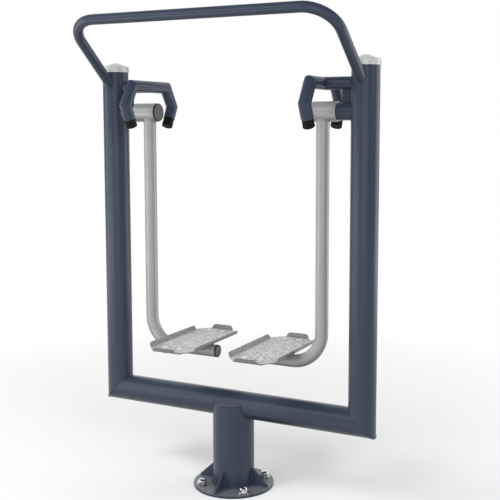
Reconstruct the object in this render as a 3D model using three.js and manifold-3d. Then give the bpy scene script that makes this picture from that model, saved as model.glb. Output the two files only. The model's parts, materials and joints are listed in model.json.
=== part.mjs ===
// Outdoor air walker: two swinging legs with pedals, hung in a welded tube frame on one bolted post.
// Millimetres, +Z up. The origin is on the ground under the post. -Y is the front, where the handrail
// leans out, and +X is the right-hand side for someone who looks along +Y.

import * as THREE from 'three';
import { mergeVertices } from 'three/addons/utils/BufferGeometryUtils.js';
import Module from 'manifold-3d';

const wasm = await Module();
wasm.setup();

// Fits that all pieces share
const fitGap = 0.3;
const runningGap = 1;
const cutOverrun = 6;

// Facets round each kind of curve
const largeSides = 28;
const pivotSides = 16;
const tubeSides = 20;
const bracketSides = 16;
const railSides = 16;
const anchorSides = 12;
const screwSides = 10;
const bendSteps = 5;
const domeSteps = 3;
const plateArcSteps = 8;
const lipBendSteps = 4;
const lipEndSteps = 3;

// Frame: uprights, cross beam and their caps
const frameTubeDiameter = 88.9;
const frameTubeWall = 3.2;
const legToUpright = 140.5;
const beamAxisHeight = 281;
const uprightTopHeight = 1416;
const capSkirtDepth = 16;
const capRimHeight = 19;
const capConeHeight = 14;
const capTipHeight = 1.2;
const capTipRadius = 8;
const capWall = 2;
const capEdgeChamfer = 1.2;

// Base post with its closing plates, flange and gussets
const postDiameter = 139.7;
const postWall = 4.5;
const postRiseOverBeamAxis = 10;
const postPlateThickness = 5;
const flangeDiameter = 272;
const flangeThickness = 8;
const flangeEdgeChamfer = 1;
const gussetThickness = 6;
const gussetHeight = 57;
const gussetEdgeInset = 7;
const gussetTopWidth = 4;
const gussetNoseHeight = 6;
const gussetWeldRelief = 9;

// Anchors: dome nut and stud end, with a washer
const anchorCircleDiameter = 222;
const anchorStudDiameter = 20;
const anchorHoleClearance = 2;
const washerDiameter = 37;
const washerThickness = 3;
const anchorNutAcrossFlats = 30;
const anchorNutHexHeight = 10;
const anchorNutDomeHeight = 9;
const anchorNutDomeDiameter = 28;
const anchorNutChamfer = 1.5;

// Handrail: one tube with two bends, its ends coped to the uprights
const railTubeDiameter = 33.7;
const railTubeWall = 2.6;
const railRootDrop = 87;
const railCornerInset = 6.5;
const railReach = 262;
const railRise = 222;
const railBendRadius = 98;

// Pivot: hub, bearings, axle and collar
const pivotDrop = 155;
const hubDiameter = 63.5;
const hubInboardReach = 31.5;
const hubOutboardReach = 51.5;
const hubReliefDiameter = 42.5;
const hubEdgeChamfer = 0.8;
const bearingOuterDiameter = 47;
const bearingBore = 25;
const bearingWidth = 12;
const bearingRecess = 2;
const bearingFaceGroove = 1.2;
const bearingInnerRaceDiameter = 31.5;
const bearingOuterRaceDiameter = 40.5;
const nutRoom = 16;
const axleShoulderDiameter = 30;
const axleThreadDiameter = 20;
const axleNutAcrossFlats = 30;
const axleNutHexHeight = 8;
const axleNutFlangeDiameter = 30;
const axleNutFlangeHeight = 2.5;
const axleThreadProud = 1.5;
const collarDiameter = 56;
const collarChamfer = 1.5;
const hubCapInset = 1.75;
const hubCapThickness = 5.2;
const hubCapRimWidth = 3;
const hubCapFaceRecess = 0.8;
const hubCapEdgeChamfer = 1.2;
const hubCapSpigotDepth = 5;
const hubCapSpigotWall = 3;

// Stop bracket: a mitred C of tube, its arm with the web under it, and its rubber buffers
const bracketTubeDiameter = 40;
const bracketTubeWall = 3;
const bracketTopRise = 87;
const bracketTopHalfLength = 102;
const bracketKneeRise = 21;
const bracketKneeHalfLength = 141.5;
const bracketTipDrop = 48;
const bracketTipHalfLength = 107.5;
const armTubeDiameter = 40;
const armTubeWall = 3;
const armLipShare = 0.3;
const webThickness = 6;
const webInset = 13;
const bufferRootDiameter = 36;
const bufferTipDiameter = 38.5;
const bufferLength = 30;
const bufferPlugDepth = 20;
const bufferEdgeRadius = 3;

// Leg: hung under the hub, bent inwards at the foot
const legTubeDiameter = 42.4;
const legTubeWall = 3;
const legBendRadius = 102;
const footAxisHeight = 454;
const footInboardReach = 91.5;
const footPlugFlange = 5;
const footPlugDepth = 14;
const footPlugEdgeRadius = 1.5;
const footPlugDishDepth = 1;
const footPlugRimWidth = 4;

// Pedal: a folded carrier on the foot tube and a tray with four upturned lips
const pedalToMiddle = 70;
const pedalToLeg = 93;
const carrierThickness = 5;
const carrierPadHalfWidth = 52;
const carrierPadHalfLength = 32;
const carrierFingerWidth = 26;
const carrierFingerEnd = 14;
const carrierCheekDepth = 17;
const carrierCheekHalfWidth = 44;
const trayThickness = 3;
const trayHalfWidth = 80;
const trayHalfLength = 188.5;
const traySideHalfLength = 151;
const trayEndHalfLength = 46.5;
const lipHeight = 13;
const lipBendRadius = 4;
const lipAngle = THREE.MathUtils.degToRad(68);
const lipInset = 5;
const sideLipEndRounding = 10;
const endLipEndRounding = 15;
const screwHalfSpacingX = 28;
const screwHalfSpacingY = 145.3;
const screwDiameter = 8;
const screwHoleClearance = 1;
const screwHeadDiameter = 15;
const screwHeadHeight = 3.5;
const screwHeadTopShare = 0.55;
const screwNutAcrossFlats = 13;
const screwNutHeight = 6.5;

// Sizes worked out from the ones above
const frameRadius = frameTubeDiameter / 2;
const postRadius = postDiameter / 2;
const hubRadius = hubDiameter / 2;
const legRadius = legTubeDiameter / 2;
const bracketRadius = bracketTubeDiameter / 2;
const armRadius = armTubeDiameter / 2;
const collarRadius = collarDiameter / 2;
const flangeTop = flangeThickness + fitGap;
const anchorRadius = anchorCircleDiameter / 2;
const postTop = beamAxisHeight + postRiseOverBeamAxis;
const pedalCentre = pedalToMiddle + trayHalfWidth;
const footInnerEnd = pedalCentre - footInboardReach;
const legHalfSpan = pedalCentre + trayHalfWidth + pedalToLeg;
const uprightHalfSpan = legHalfSpan + legToUpright;
const pivotHeight = uprightTopHeight - pivotDrop;
const railRootHeight = uprightTopHeight - railRootDrop;
const hubInnerEnd = legHalfSpan - hubInboardReach;
const hubOuterEnd = legHalfSpan + hubOutboardReach;
const collarFace = hubOuterEnd + runningGap;
const outboardBearingFace = hubOuterEnd - bearingRecess;
const inboardBearingFace = hubInnerEnd + nutRoom;
const axleShoulderFace = outboardBearingFace + fitGap;
const nutSeatFace = inboardBearingFace - fitGap;
const nutHeight = axleNutFlangeHeight + axleNutHexHeight;
const carrierTop = footAxisHeight + legRadius + fitGap + carrierThickness;
const trayBottom = carrierTop + fitGap;
const trayTop = trayBottom + trayThickness;
const cutterReach = uprightTopHeight;

// Finishes
const finishes = {
  framePaint: { color: 0x474e5f, roughness: 0.45, metalness: 0.1 },
  silverPaint: { color: 0xa3a5a8, roughness: 0.42, metalness: 0.35 },
  capMetal: { color: 0xbcbdbe, roughness: 0.4, metalness: 0.6 },
  stainless: { color: 0xd2d4d6, roughness: 0.18, metalness: 1 },
  steel: { color: 0x9b9da0, roughness: 0.35, metalness: 1 },
  trayMetal: { color: 0xb7b8ba, roughness: 0.5, metalness: 0.5 },
  rubber: { color: 0x1a1a1b, roughness: 0.85, metalness: 0 },
  blackPlastic: { color: 0x2b2b2d, roughness: 0.6, metalness: 0 },
  greyPlastic: { color: 0x6f7072, roughness: 0.6, metalness: 0 },
};

function newMaterial(finish) {
  return new THREE.MeshStandardMaterial(finishes[finish]);
}

// Closed meshes and solids

function signedVolume(position, index) {
  const a = new THREE.Vector3();
  const b = new THREE.Vector3();
  const c = new THREE.Vector3();
  let sum = 0;
  for (let i = 0; i < index.length; i += 3) {
    a.fromBufferAttribute(position, index[i]);
    b.fromBufferAttribute(position, index[i + 1]);
    c.fromBufferAttribute(position, index[i + 2]);
    sum += a.dot(b.cross(c));
  }
  return sum / 6;
}

// One closed body: shared corners merged, collapsed triangles dropped, faces outwards
function closedBody(geometry) {
  const bare = geometry.clone();
  bare.deleteAttribute('normal');
  bare.deleteAttribute('uv');
  const merged = mergeVertices(bare);
  const corners = merged.index.array;
  const kept = [];
  for (let i = 0; i < corners.length; i += 3) {
    const [a, b, c] = [corners[i], corners[i + 1], corners[i + 2]];
    if (a !== b && b !== c && c !== a) {
      kept.push(a, b, c);
    }
  }
  const position = merged.getAttribute('position');
  if (signedVolume(position, kept) < 0) {
    kept.reverse();
  }
  const body = new THREE.BufferGeometry();
  body.setAttribute('position', position);
  body.setIndex(kept);
  return body;
}

function solidOf(geometry) {
  const body = closedBody(geometry);
  const vertProperties = new Float32Array(body.getAttribute('position').array);
  const triVerts = new Uint32Array(body.index.array);
  return new wasm.Manifold(new wasm.Mesh({ numProp: 3, vertProperties, triVerts }));
}

function geometryOf(solid) {
  const mesh = solid.getMesh();
  const geometry = new THREE.BufferGeometry();
  geometry.setAttribute('position', new THREE.BufferAttribute(new Float32Array(mesh.vertProperties), 3));
  geometry.setIndex(Array.from(mesh.triVerts));
  return geometry;
}

function cut(geometry, ...cutters) {
  const solids = cutters.map(solidOf);
  return geometryOf(solids.reduce((rest, cutter) => rest.subtract(cutter), solidOf(geometry)));
}

function join(...geometries) {
  return geometryOf(geometries.map(solidOf).reduce((sum, next) => sum.add(next)));
}

// Turned shapes

const point = (x, y) => new THREE.Vector2(x, y);

// A turned piece along +X. The profile lists [along the axis, radius], on the axis or closed
function turnedAlongX(profile, sides) {
  const points = profile.map(([along, radius]) => point(radius, along));
  return new THREE.LatheGeometry(points, sides).rotateZ(-Math.PI / 2);
}

// A turned piece along +Z, from the same kind of profile
function turnedAlongZ(profile, sides) {
  const points = profile.map(([along, radius]) => point(radius, along));
  return new THREE.LatheGeometry(points, sides).rotateX(Math.PI / 2);
}

function rodAlongX(start, end, radius, sides) {
  return turnedAlongX([[start, 0], [start, radius], [end, radius], [end, 0]], sides);
}

function rodAlongZ(start, end, radius, sides) {
  return turnedAlongZ([[start, 0], [start, radius], [end, radius], [end, 0]], sides);
}

function hexPrism(acrossFlats, start, height) {
  const radius = acrossFlats / Math.sqrt(3);
  return rodAlongZ(start, start + height, radius, 6);
}

// Swept tubes

// Points of a path whose inner corners are rounded to one radius
function roundedPath(corners, radius, steps) {
  const path = [corners[0]];
  for (let i = 1; i < corners.length - 1; i += 1) {
    const corner = corners[i];
    const back = corners[i - 1].clone().sub(corner).normalize();
    const ahead = corners[i + 1].clone().sub(corner).normalize();
    const halfOpening = back.angleTo(ahead) / 2;
    const centre = back.clone().add(ahead).normalize();
    centre.multiplyScalar(radius / Math.sin(halfOpening)).add(corner);
    const start = back.clone().multiplyScalar(radius / Math.tan(halfOpening)).add(corner).sub(centre);
    const axis = ahead.clone().cross(back).normalize();
    const turn = Math.PI - 2 * halfOpening;
    for (let step = 0; step <= steps; step += 1) {
      path.push(start.clone().applyAxisAngle(axis, turn * step / steps).add(centre));
    }
  }
  path.push(corners[corners.length - 1]);
  return path;
}

// A round tube along a flat path. Each ring lies in the plane that halves the bend there, so straight
// runs keep their diameter and sharp corners become mitres. The ends are square unless a cut is given.
function sweptTube({ path, flatNormal, diameter, wall, sides, startCut, endCut }) {
  const last = path.length - 1;
  const towards = (i, j) => path[j].clone().sub(path[i]).normalize();
  const radii = [diameter / 2, diameter / 2 - wall];
  const vertices = [];
  path.forEach((centre, i) => {
    const ahead = i < last ? towards(i, i + 1) : towards(i - 1, i);
    const behind = i > 0 ? towards(i - 1, i) : ahead;
    let plane = ahead.clone().add(behind).normalize();
    if (i === 0 && startCut) plane = startCut;
    if (i === last && endCut) plane = endCut;
    const across = behind.clone().cross(flatNormal).normalize();
    for (const radius of radii) {
      for (let k = 0; k < sides; k += 1) {
        const angle = 2 * Math.PI * k / sides;
        const offset = flatNormal.clone().multiplyScalar(radius * Math.cos(angle));
        offset.addScaledVector(across, radius * Math.sin(angle));
        offset.addScaledVector(behind, -offset.dot(plane) / behind.dot(plane));
        vertices.push(...offset.add(centre).toArray());
      }
    }
  });
  const index = [];
  const at = (ring, shell, k) => (ring * radii.length + shell) * sides + (k % sides);
  const quad = (a, b, c, d) => index.push(a, b, c, a, c, d);
  for (let k = 0; k < sides; k += 1) {
    for (let i = 0; i < last; i += 1) {
      quad(at(i, 0, k), at(i, 0, k + 1), at(i + 1, 0, k + 1), at(i + 1, 0, k));
      quad(at(i, 1, k), at(i + 1, 1, k), at(i + 1, 1, k + 1), at(i, 1, k + 1));
    }
    quad(at(0, 0, k), at(0, 1, k), at(0, 1, k + 1), at(0, 0, k + 1));
    quad(at(last, 0, k), at(last, 0, k + 1), at(last, 1, k + 1), at(last, 1, k));
  }
  const geometry = new THREE.BufferGeometry();
  geometry.setAttribute('position', new THREE.Float32BufferAttribute(vertices, 3));
  geometry.setIndex(index);
  return closedBody(geometry);
}

const vector = (x, y, z) => new THREE.Vector3(x, y, z);
const alongX = vector(1, 0, 0);
const alongY = vector(0, 1, 0);
const alongZ = vector(0, 0, 1);

// The space that an upright fills, with a gap round it
function uprightSpace() {
  const space = rodAlongZ(0, cutterReach, frameRadius + fitGap, largeSides);
  return space.translate(uprightHalfSpan, 0, 0);
}

// Base

function baseFlange() {
  const radius = flangeDiameter / 2;
  const plate = turnedAlongZ([
    [0, 0],
    [0, radius],
    [flangeThickness - flangeEdgeChamfer, radius],
    [flangeThickness, radius - flangeEdgeChamfer],
    [flangeThickness, 0],
  ], largeSides);
  const holeRadius = anchorStudDiameter / 2 + anchorHoleClearance;
  const holes = anchorPlaces().map(({ x, y }) => {
    const hole = rodAlongZ(-cutOverrun, flangeThickness + cutOverrun, holeRadius, anchorSides);
    return hole.translate(x, y, 0);
  });
  return cut(plate, ...holes);
}

function anchorPlaces() {
  const places = [];
  for (let i = 0; i < 4; i += 1) {
    const angle = Math.PI / 4 + i * Math.PI / 2;
    places.push({ x: anchorRadius * Math.cos(angle), y: anchorRadius * Math.sin(angle) });
  }
  return places;
}

// The post is slotted from its top, so that the beam drops in until the slot's round floor carries it
function basePost() {
  const top = postTop - postPlateThickness - fitGap;
  const tube = sweptTube({
    path: [vector(0, 0, flangeTop), vector(0, 0, top)],
    flatNormal: alongX,
    diameter: postDiameter,
    wall: postWall,
    sides: largeSides,
  });
  const slotRadius = frameRadius + fitGap;
  const slotHeight = postRiseOverBeamAxis + cutOverrun;
  const slotFloor = rodAlongX(-postDiameter, postDiameter, slotRadius, largeSides);
  const slot = new THREE.BoxGeometry(2 * postDiameter, 2 * slotRadius, slotHeight);
  slotFloor.translate(0, 0, beamAxisHeight);
  slot.translate(0, 0, beamAxisHeight + slotHeight / 2);
  return cut(tube, slotFloor, slot);
}

// Half-moon plate that closes the post beside the beam, made at the front and turned for the rear
function postPlate() {
  const chord = frameRadius + fitGap;
  const halfAngle = Math.acos(chord / postRadius);
  const outline = new THREE.Shape();
  outline.absarc(0, 0, postRadius, -Math.PI / 2 - halfAngle, -Math.PI / 2 + halfAngle, false);
  outline.closePath();
  return new THREE.ExtrudeGeometry(outline, {
    depth: postPlateThickness,
    bevelEnabled: false,
    curveSegments: plateArcSteps,
  });
}

// Gusset in the plane of +X and +Z, standing on the flange against the post
function gusset() {
  const foot = postRadius + fitGap;
  const nose = flangeDiameter / 2 - gussetEdgeInset;
  const outline = new THREE.Shape([
    point(foot, gussetWeldRelief),
    point(foot + gussetWeldRelief, 0),
    point(nose, 0),
    point(nose, gussetNoseHeight),
    point(foot + gussetTopWidth, gussetHeight),
    point(foot, gussetHeight),
  ]);
  const plate = new THREE.ExtrudeGeometry(outline, { depth: gussetThickness, bevelEnabled: false });
  return plate.translate(0, 0, -gussetThickness / 2).rotateX(Math.PI / 2);
}

function anchorWasher() {
  const bore = anchorStudDiameter / 2 + fitGap;
  const radius = washerDiameter / 2;
  return turnedAlongZ([
    [0, bore],
    [0, radius],
    [washerThickness, radius],
    [washerThickness, bore],
    [0, bore],
  ], anchorSides);
}

// Dome nut run down on its stud, which ends level with the flange's underside
function anchorNut() {
  const seat = flangeTop + washerThickness + fitGap;
  const hexTop = seat + anchorNutHexHeight;
  const domeRadius = anchorNutDomeDiameter / 2;
  const cornerRadius = anchorNutAcrossFlats / Math.sqrt(3);
  const hex = hexPrism(anchorNutAcrossFlats, seat, anchorNutHexHeight);
  const chamferCone = turnedAlongZ([
    [seat - cutOverrun, 0],
    [seat - cutOverrun, cornerRadius - anchorNutChamfer - cutOverrun],
    [seat + anchorNutChamfer, cornerRadius + anchorNutChamfer],
    [hexTop - anchorNutChamfer, cornerRadius + anchorNutChamfer],
    [hexTop + cutOverrun, cornerRadius - anchorNutChamfer - cutOverrun],
    [hexTop + cutOverrun, 0],
  ], anchorSides);
  const dome = [];
  for (let i = 0; i <= domeSteps; i += 1) {
    const angle = (Math.PI / 2) * i / domeSteps;
    dome.push([hexTop + anchorNutDomeHeight * Math.sin(angle), domeRadius * Math.cos(angle)]);
  }
  const stud = turnedAlongZ([
    [fitGap, 0],
    [fitGap, anchorStudDiameter / 2],
    [seat + anchorNutChamfer, anchorStudDiameter / 2],
    [seat + anchorNutChamfer, domeRadius],
    ...dome.slice(0, -1),
    [hexTop + anchorNutDomeHeight, 0],
  ], anchorSides);
  const nut = solidOf(hex).intersect(solidOf(chamferCone));
  return geometryOf(nut.add(solidOf(stud)));
}

// Frame

function crossBeam() {
  const end = uprightHalfSpan - fitGap * Math.SQRT1_2;
  return sweptTube({
    path: [vector(-end, 0, beamAxisHeight), vector(end, 0, beamAxisHeight)],
    flatNormal: alongY,
    diameter: frameTubeDiameter,
    wall: frameTubeWall,
    sides: largeSides,
    startCut: vector(1, 0, -1).normalize(),
    endCut: vector(1, 0, 1).normalize(),
  });
}

// Upright of the side whose outward direction is +X, with a hole for its axle in the inner wall
function upright() {
  const start = beamAxisHeight + fitGap * Math.SQRT1_2;
  const tube = sweptTube({
    path: [vector(uprightHalfSpan, 0, start), vector(uprightHalfSpan, 0, uprightTopHeight)],
    flatNormal: alongY,
    diameter: frameTubeDiameter,
    wall: frameTubeWall,
    sides: largeSides,
    startCut: vector(1, 0, 1).normalize(),
  });
  const innerFace = uprightHalfSpan - frameRadius;
  const holeRadius = axleShoulderDiameter / 2 + fitGap;
  const hole = rodAlongX(innerFace - cutOverrun, uprightHalfSpan, holeRadius, pivotSides);
  return cut(tube, hole.translate(0, 0, pivotHeight));
}

// Cap that slips over the top of an upright
function uprightCap() {
  const bore = frameRadius + fitGap;
  const radius = bore + capWall;
  const bottom = uprightTopHeight - capSkirtDepth;
  const rimTop = bottom + capRimHeight;
  return turnedAlongZ([
    [uprightTopHeight + fitGap, 0],
    [uprightTopHeight + fitGap, bore],
    [bottom, bore],
    [bottom, radius],
    [rimTop - capEdgeChamfer, radius],
    [rimTop, radius - capEdgeChamfer],
    [rimTop + capConeHeight - capTipHeight, capTipRadius],
    [rimTop + capConeHeight, 0],
  ], largeSides);
}

function handrail() {
  const cornerHalfSpan = uprightHalfSpan - railCornerInset;
  const barHeight = railRootHeight + railRise;
  const corners = [
    vector(-uprightHalfSpan, 0, railRootHeight),
    vector(-cornerHalfSpan, -railReach, barHeight),
    vector(cornerHalfSpan, -railReach, barHeight),
    vector(uprightHalfSpan, 0, railRootHeight),
  ];
  const leg = vector(0, -railReach, railRise);
  const tube = sweptTube({
    path: roundedPath(corners, railBendRadius, bendSteps),
    flatNormal: alongX.clone().cross(leg).normalize(),
    diameter: railTubeDiameter,
    wall: railTubeWall,
    sides: railSides,
  });
  const right = uprightSpace();
  const left = uprightSpace().translate(-2 * uprightHalfSpan, 0, 0);
  return cut(tube, right, left);
}

// Pivot, along +X from the middle of the walker outwards

function axleShaft() {
  const shoulder = axleShoulderDiameter / 2;
  const journal = bearingBore / 2;
  const thread = axleThreadDiameter / 2;
  const tubeBore = frameRadius - frameTubeWall - fitGap;
  const outerEnd = uprightHalfSpan + Math.sqrt(tubeBore ** 2 - shoulder ** 2);
  const threadEnd = nutSeatFace - nutHeight - axleThreadProud;
  return turnedAlongX([
    [threadEnd, 0],
    [threadEnd, thread],
    [nutSeatFace, thread],
    [nutSeatFace, journal],
    [axleShoulderFace, journal],
    [axleShoulderFace, shoulder],
    [outerEnd, shoulder],
    [outerEnd, 0],
  ], pivotSides);
}

// Collar on the axle, coped to the upright at its outer end
function axleCollar() {
  const bore = axleShoulderDiameter / 2 + fitGap;
  const ring = turnedAlongX([
    [collarFace, bore],
    [collarFace, collarRadius - collarChamfer],
    [collarFace + collarChamfer, collarRadius],
    [uprightHalfSpan, collarRadius],
    [uprightHalfSpan, bore],
    [collarFace, bore],
  ], pivotSides);
  return cut(ring, uprightSpace().translate(0, 0, -pivotHeight));
}

// Lock nut with its washer face, against the inner ring of the inboard bearing
function axleNut() {
  const bore = axleThreadDiameter / 2 + fitGap;
  const start = nutSeatFace - nutHeight;
  const hex = hexPrism(axleNutAcrossFlats, 0, nutHeight - axleNutFlangeHeight / 2).rotateY(Math.PI / 2);
  const flange = rodAlongX(nutHeight - axleNutFlangeHeight, nutHeight, axleNutFlangeDiameter / 2, pivotSides);
  const hole = rodAlongX(-cutOverrun, nutHeight + cutOverrun, bore, pivotSides);
  return cut(join(hex, flange), hole).translate(start, 0, 0);
}

// Deep groove ball bearing with sealed faces, drawn back between its two races
function bearing() {
  const bore = bearingBore / 2 + fitGap;
  const radius = bearingOuterDiameter / 2;
  const inner = bearingInnerRaceDiameter / 2;
  const outer = bearingOuterRaceDiameter / 2;
  const back = bearingWidth - bearingFaceGroove;
  return turnedAlongX([
    [0, bore],
    [0, inner],
    [bearingFaceGroove, inner],
    [bearingFaceGroove, outer],
    [0, outer],
    [0, radius],
    [bearingWidth, radius],
    [bearingWidth, outer],
    [back, outer],
    [back, inner],
    [bearingWidth, inner],
    [bearingWidth, bore],
    [0, bore],
  ], pivotSides);
}

// Hub with a bearing seat at each end and a narrower bore between the seats
function hubShell() {
  const seat = bearingOuterDiameter / 2 + fitGap;
  const relief = hubReliefDiameter / 2;
  const inboardShoulder = inboardBearingFace + bearingWidth + fitGap;
  const outboardShoulder = outboardBearingFace - bearingWidth - fitGap;
  return turnedAlongX([
    [hubInnerEnd, seat],
    [hubInnerEnd, hubRadius - hubEdgeChamfer],
    [hubInnerEnd + hubEdgeChamfer, hubRadius],
    [hubOuterEnd - hubEdgeChamfer, hubRadius],
    [hubOuterEnd, hubRadius - hubEdgeChamfer],
    [hubOuterEnd, seat],
    [outboardShoulder, seat],
    [outboardShoulder, relief],
    [inboardShoulder, relief],
    [inboardShoulder, seat],
    [hubInnerEnd, seat],
  ], pivotSides);
}

// End cap of the hub: a rim round a slightly sunk disc, and a ring that plugs into the bore
function hubCap() {
  const radius = hubRadius - hubCapInset;
  const spigot = bearingOuterDiameter / 2;
  const bore = spigot - hubCapSpigotWall;
  const seat = hubInnerEnd - fitGap;
  const face = seat - hubCapThickness;
  return turnedAlongX([
    [face + hubCapFaceRecess, 0],
    [face + hubCapFaceRecess, radius - hubCapRimWidth - hubCapFaceRecess],
    [face, radius - hubCapRimWidth],
    [face, radius - hubCapEdgeChamfer],
    [face + hubCapEdgeChamfer, radius],
    [seat, radius],
    [seat, spigot],
    [seat + hubCapSpigotDepth, spigot],
    [seat + hubCapSpigotDepth, bore],
    [seat, bore],
    [seat, 0],
  ], pivotSides);
}

// Stop bracket

// Upright plate between the arm above it and the axle's collar below, from the arm's own axis down
function armWeb() {
  const start = collarFace + webInset;
  const end = uprightHalfSpan + cutOverrun;
  const length = uprightHalfSpan - start;
  const sheet = new THREE.BoxGeometry(length, webThickness, bracketTopRise);
  sheet.translate(start + length / 2, 0, -bracketTopRise / 2);
  const spaceAlong = (radius, sides) => rodAlongX(start - cutOverrun, end, radius, sides);
  const armSpace = spaceAlong(armRadius - armTubeWall / 2, bracketSides);
  const collarSpace = spaceAlong(collarRadius + fitGap, pivotSides).translate(0, 0, -bracketTopRise);
  return cut(sheet, armSpace, collarSpace);
}

// Arm from the stop bracket to the upright, coped to both, with its web welded on
function bracketArm() {
  const start = legHalfSpan + armLipShare * bracketRadius;
  const tube = sweptTube({
    path: [vector(start, 0, 0), vector(uprightHalfSpan, 0, 0)],
    flatNormal: alongY,
    diameter: armTubeDiameter,
    wall: armTubeWall,
    sides: bracketSides,
  });
  const reach = bracketTopHalfLength;
  const bracketSpace = rodAlongX(-reach, reach, bracketRadius + fitGap, bracketSides).rotateZ(Math.PI / 2);
  const post = uprightSpace().translate(0, 0, -pivotHeight);
  return cut(join(tube, armWeb()), bracketSpace.translate(legHalfSpan, 0, 0), post);
}

// Where one end of the bracket's steel tube stops, short of the buffer's own tip
function bracketEnd(facing) {
  const knee = vector(0, facing * bracketKneeHalfLength, bracketKneeRise);
  const tip = vector(0, facing * bracketTipHalfLength, -bracketTipDrop);
  const direction = tip.clone().sub(knee).normalize();
  return { knee, direction, steelEnd: tip.addScaledVector(direction, -bufferLength) };
}

function stopBracket() {
  const front = bracketEnd(-1);
  const rear = bracketEnd(1);
  return sweptTube({
    path: [
      front.steelEnd,
      front.knee,
      vector(0, -bracketTopHalfLength, bracketTopRise),
      vector(0, bracketTopHalfLength, bracketTopRise),
      rear.knee,
      rear.steelEnd,
    ],
    flatNormal: alongX,
    diameter: bracketTubeDiameter,
    wall: bracketTubeWall,
    sides: bracketSides,
  });
}

// Rubber buffer along +Z: a head that widens to its round edge, and a plug that goes into the tube behind it
function rubberBuffer() {
  const root = bufferRootDiameter / 2;
  const head = bufferTipDiameter / 2;
  const plug = bracketRadius - bracketTubeWall - fitGap;
  return turnedAlongZ([
    [-bufferPlugDepth, 0],
    [-bufferPlugDepth, plug],
    [fitGap, plug],
    [fitGap, root],
    [bufferLength - bufferEdgeRadius, head],
    [bufferLength - bufferEdgeRadius * (1 - Math.SQRT1_2), head - bufferEdgeRadius * (1 - Math.SQRT1_2)],
    [bufferLength, head - bufferEdgeRadius],
    [bufferLength, 0],
  ], bracketSides);
}

// Leg

function legTube() {
  const foot = footInnerEnd + footPlugFlange + fitGap;
  const corners = [
    vector(legHalfSpan, 0, pivotHeight),
    vector(legHalfSpan, 0, footAxisHeight),
    vector(foot, 0, footAxisHeight),
  ];
  const tube = sweptTube({
    path: roundedPath(corners, legBendRadius, bendSteps),
    flatNormal: alongY,
    diameter: legTubeDiameter,
    wall: legTubeWall,
    sides: tubeSides,
  });
  const hubSpace = rodAlongX(hubInnerEnd, hubOuterEnd, hubRadius + fitGap, pivotSides);
  return cut(tube, hubSpace.translate(0, 0, pivotHeight));
}

// Plug that closes the inner end of the foot tube
function footPlug() {
  const radius = legRadius;
  const spigot = legRadius - legTubeWall - fitGap;
  const seat = footInnerEnd + footPlugFlange;
  return turnedAlongX([
    [footInnerEnd + footPlugDishDepth, 0],
    [footInnerEnd + footPlugDishDepth, radius - footPlugRimWidth],
    [footInnerEnd, radius - footPlugRimWidth],
    [footInnerEnd, radius - footPlugEdgeRadius],
    [footInnerEnd + footPlugEdgeRadius, radius],
    [seat, radius],
    [seat, spigot],
    [seat + footPlugDepth, spigot],
    [seat + footPlugDepth, 0],
  ], tubeSides);
}

// Pedal, in a frame of its own: the origin is on the tray's top, in its middle

function screwPlaces() {
  const places = [];
  for (const x of [-screwHalfSpacingX, screwHalfSpacingX]) {
    for (const y of [-screwHalfSpacingY, screwHalfSpacingY]) {
      places.push({ x, y });
    }
  }
  return places;
}

function screwHoles(bottom, top) {
  const radius = (screwDiameter + screwHoleClearance) / 2;
  return screwPlaces().map(({ x, y }) => rodAlongZ(bottom, top, radius, screwSides).translate(x, y, 0));
}

function plate(halfWidth, halfLength, bottom, top) {
  const block = new THREE.BoxGeometry(2 * halfWidth, 2 * halfLength, top - bottom);
  return block.translate(0, 0, (top + bottom) / 2);
}

// Folded sheet that carries the tray: a pad, four fingers out to the screws, and two cheeks on the tube
function pedalCarrier() {
  const top = carrierTop - trayTop;
  const bottom = top - carrierThickness;
  const fingerReach = screwHalfSpacingY + carrierFingerEnd;
  const pad = plate(carrierPadHalfWidth, carrierPadHalfLength, bottom, top);
  const fingers = [-1, 1].map((side) => {
    const finger = plate(carrierFingerWidth / 2, fingerReach, bottom, top);
    return finger.translate(side * screwHalfSpacingX, 0, 0);
  });
  const cheeks = [-1, 1].map((side) => {
    const cheekBottom = bottom - carrierCheekDepth;
    const cheek = plate(carrierCheekHalfWidth, carrierThickness / 2, cheekBottom, top - carrierThickness / 2);
    return cheek.translate(0, side * (legRadius + fitGap + carrierThickness / 2), 0);
  });
  const sheet = join(pad, ...fingers, ...cheeks);
  return cut(sheet, ...screwHoles(bottom - cutOverrun, top + cutOverrun));
}

// Section of an upturned lip, outwards along the first axis and up along the second, from the tray's flat
function lipSection() {
  const sectionInner = lipBendRadius;
  const sectionOuter = lipBendRadius + trayThickness;
  const bendRise = sectionInner * (1 - Math.cos(lipAngle));
  const straight = (lipHeight - bendRise) / Math.sin(lipAngle);
  const onArc = (radius, angle) => point(radius * Math.sin(angle), sectionInner - radius * Math.cos(angle));
  const run = point(Math.cos(lipAngle), Math.sin(lipAngle)).multiplyScalar(straight);
  const points = [point(-trayThickness, -trayThickness)];
  for (let i = 0; i <= lipBendSteps; i += 1) {
    points.push(onArc(sectionOuter, lipAngle * i / lipBendSteps));
  }
  points.push(onArc(sectionOuter, lipAngle).add(run));
  points.push(onArc(sectionInner, lipAngle).add(run));
  for (let i = lipBendSteps; i >= 0; i -= 1) {
    points.push(onArc(sectionInner, lipAngle * i / lipBendSteps));
  }
  points.push(point(-trayThickness, 0));
  return new THREE.Shape(points);
}

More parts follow.
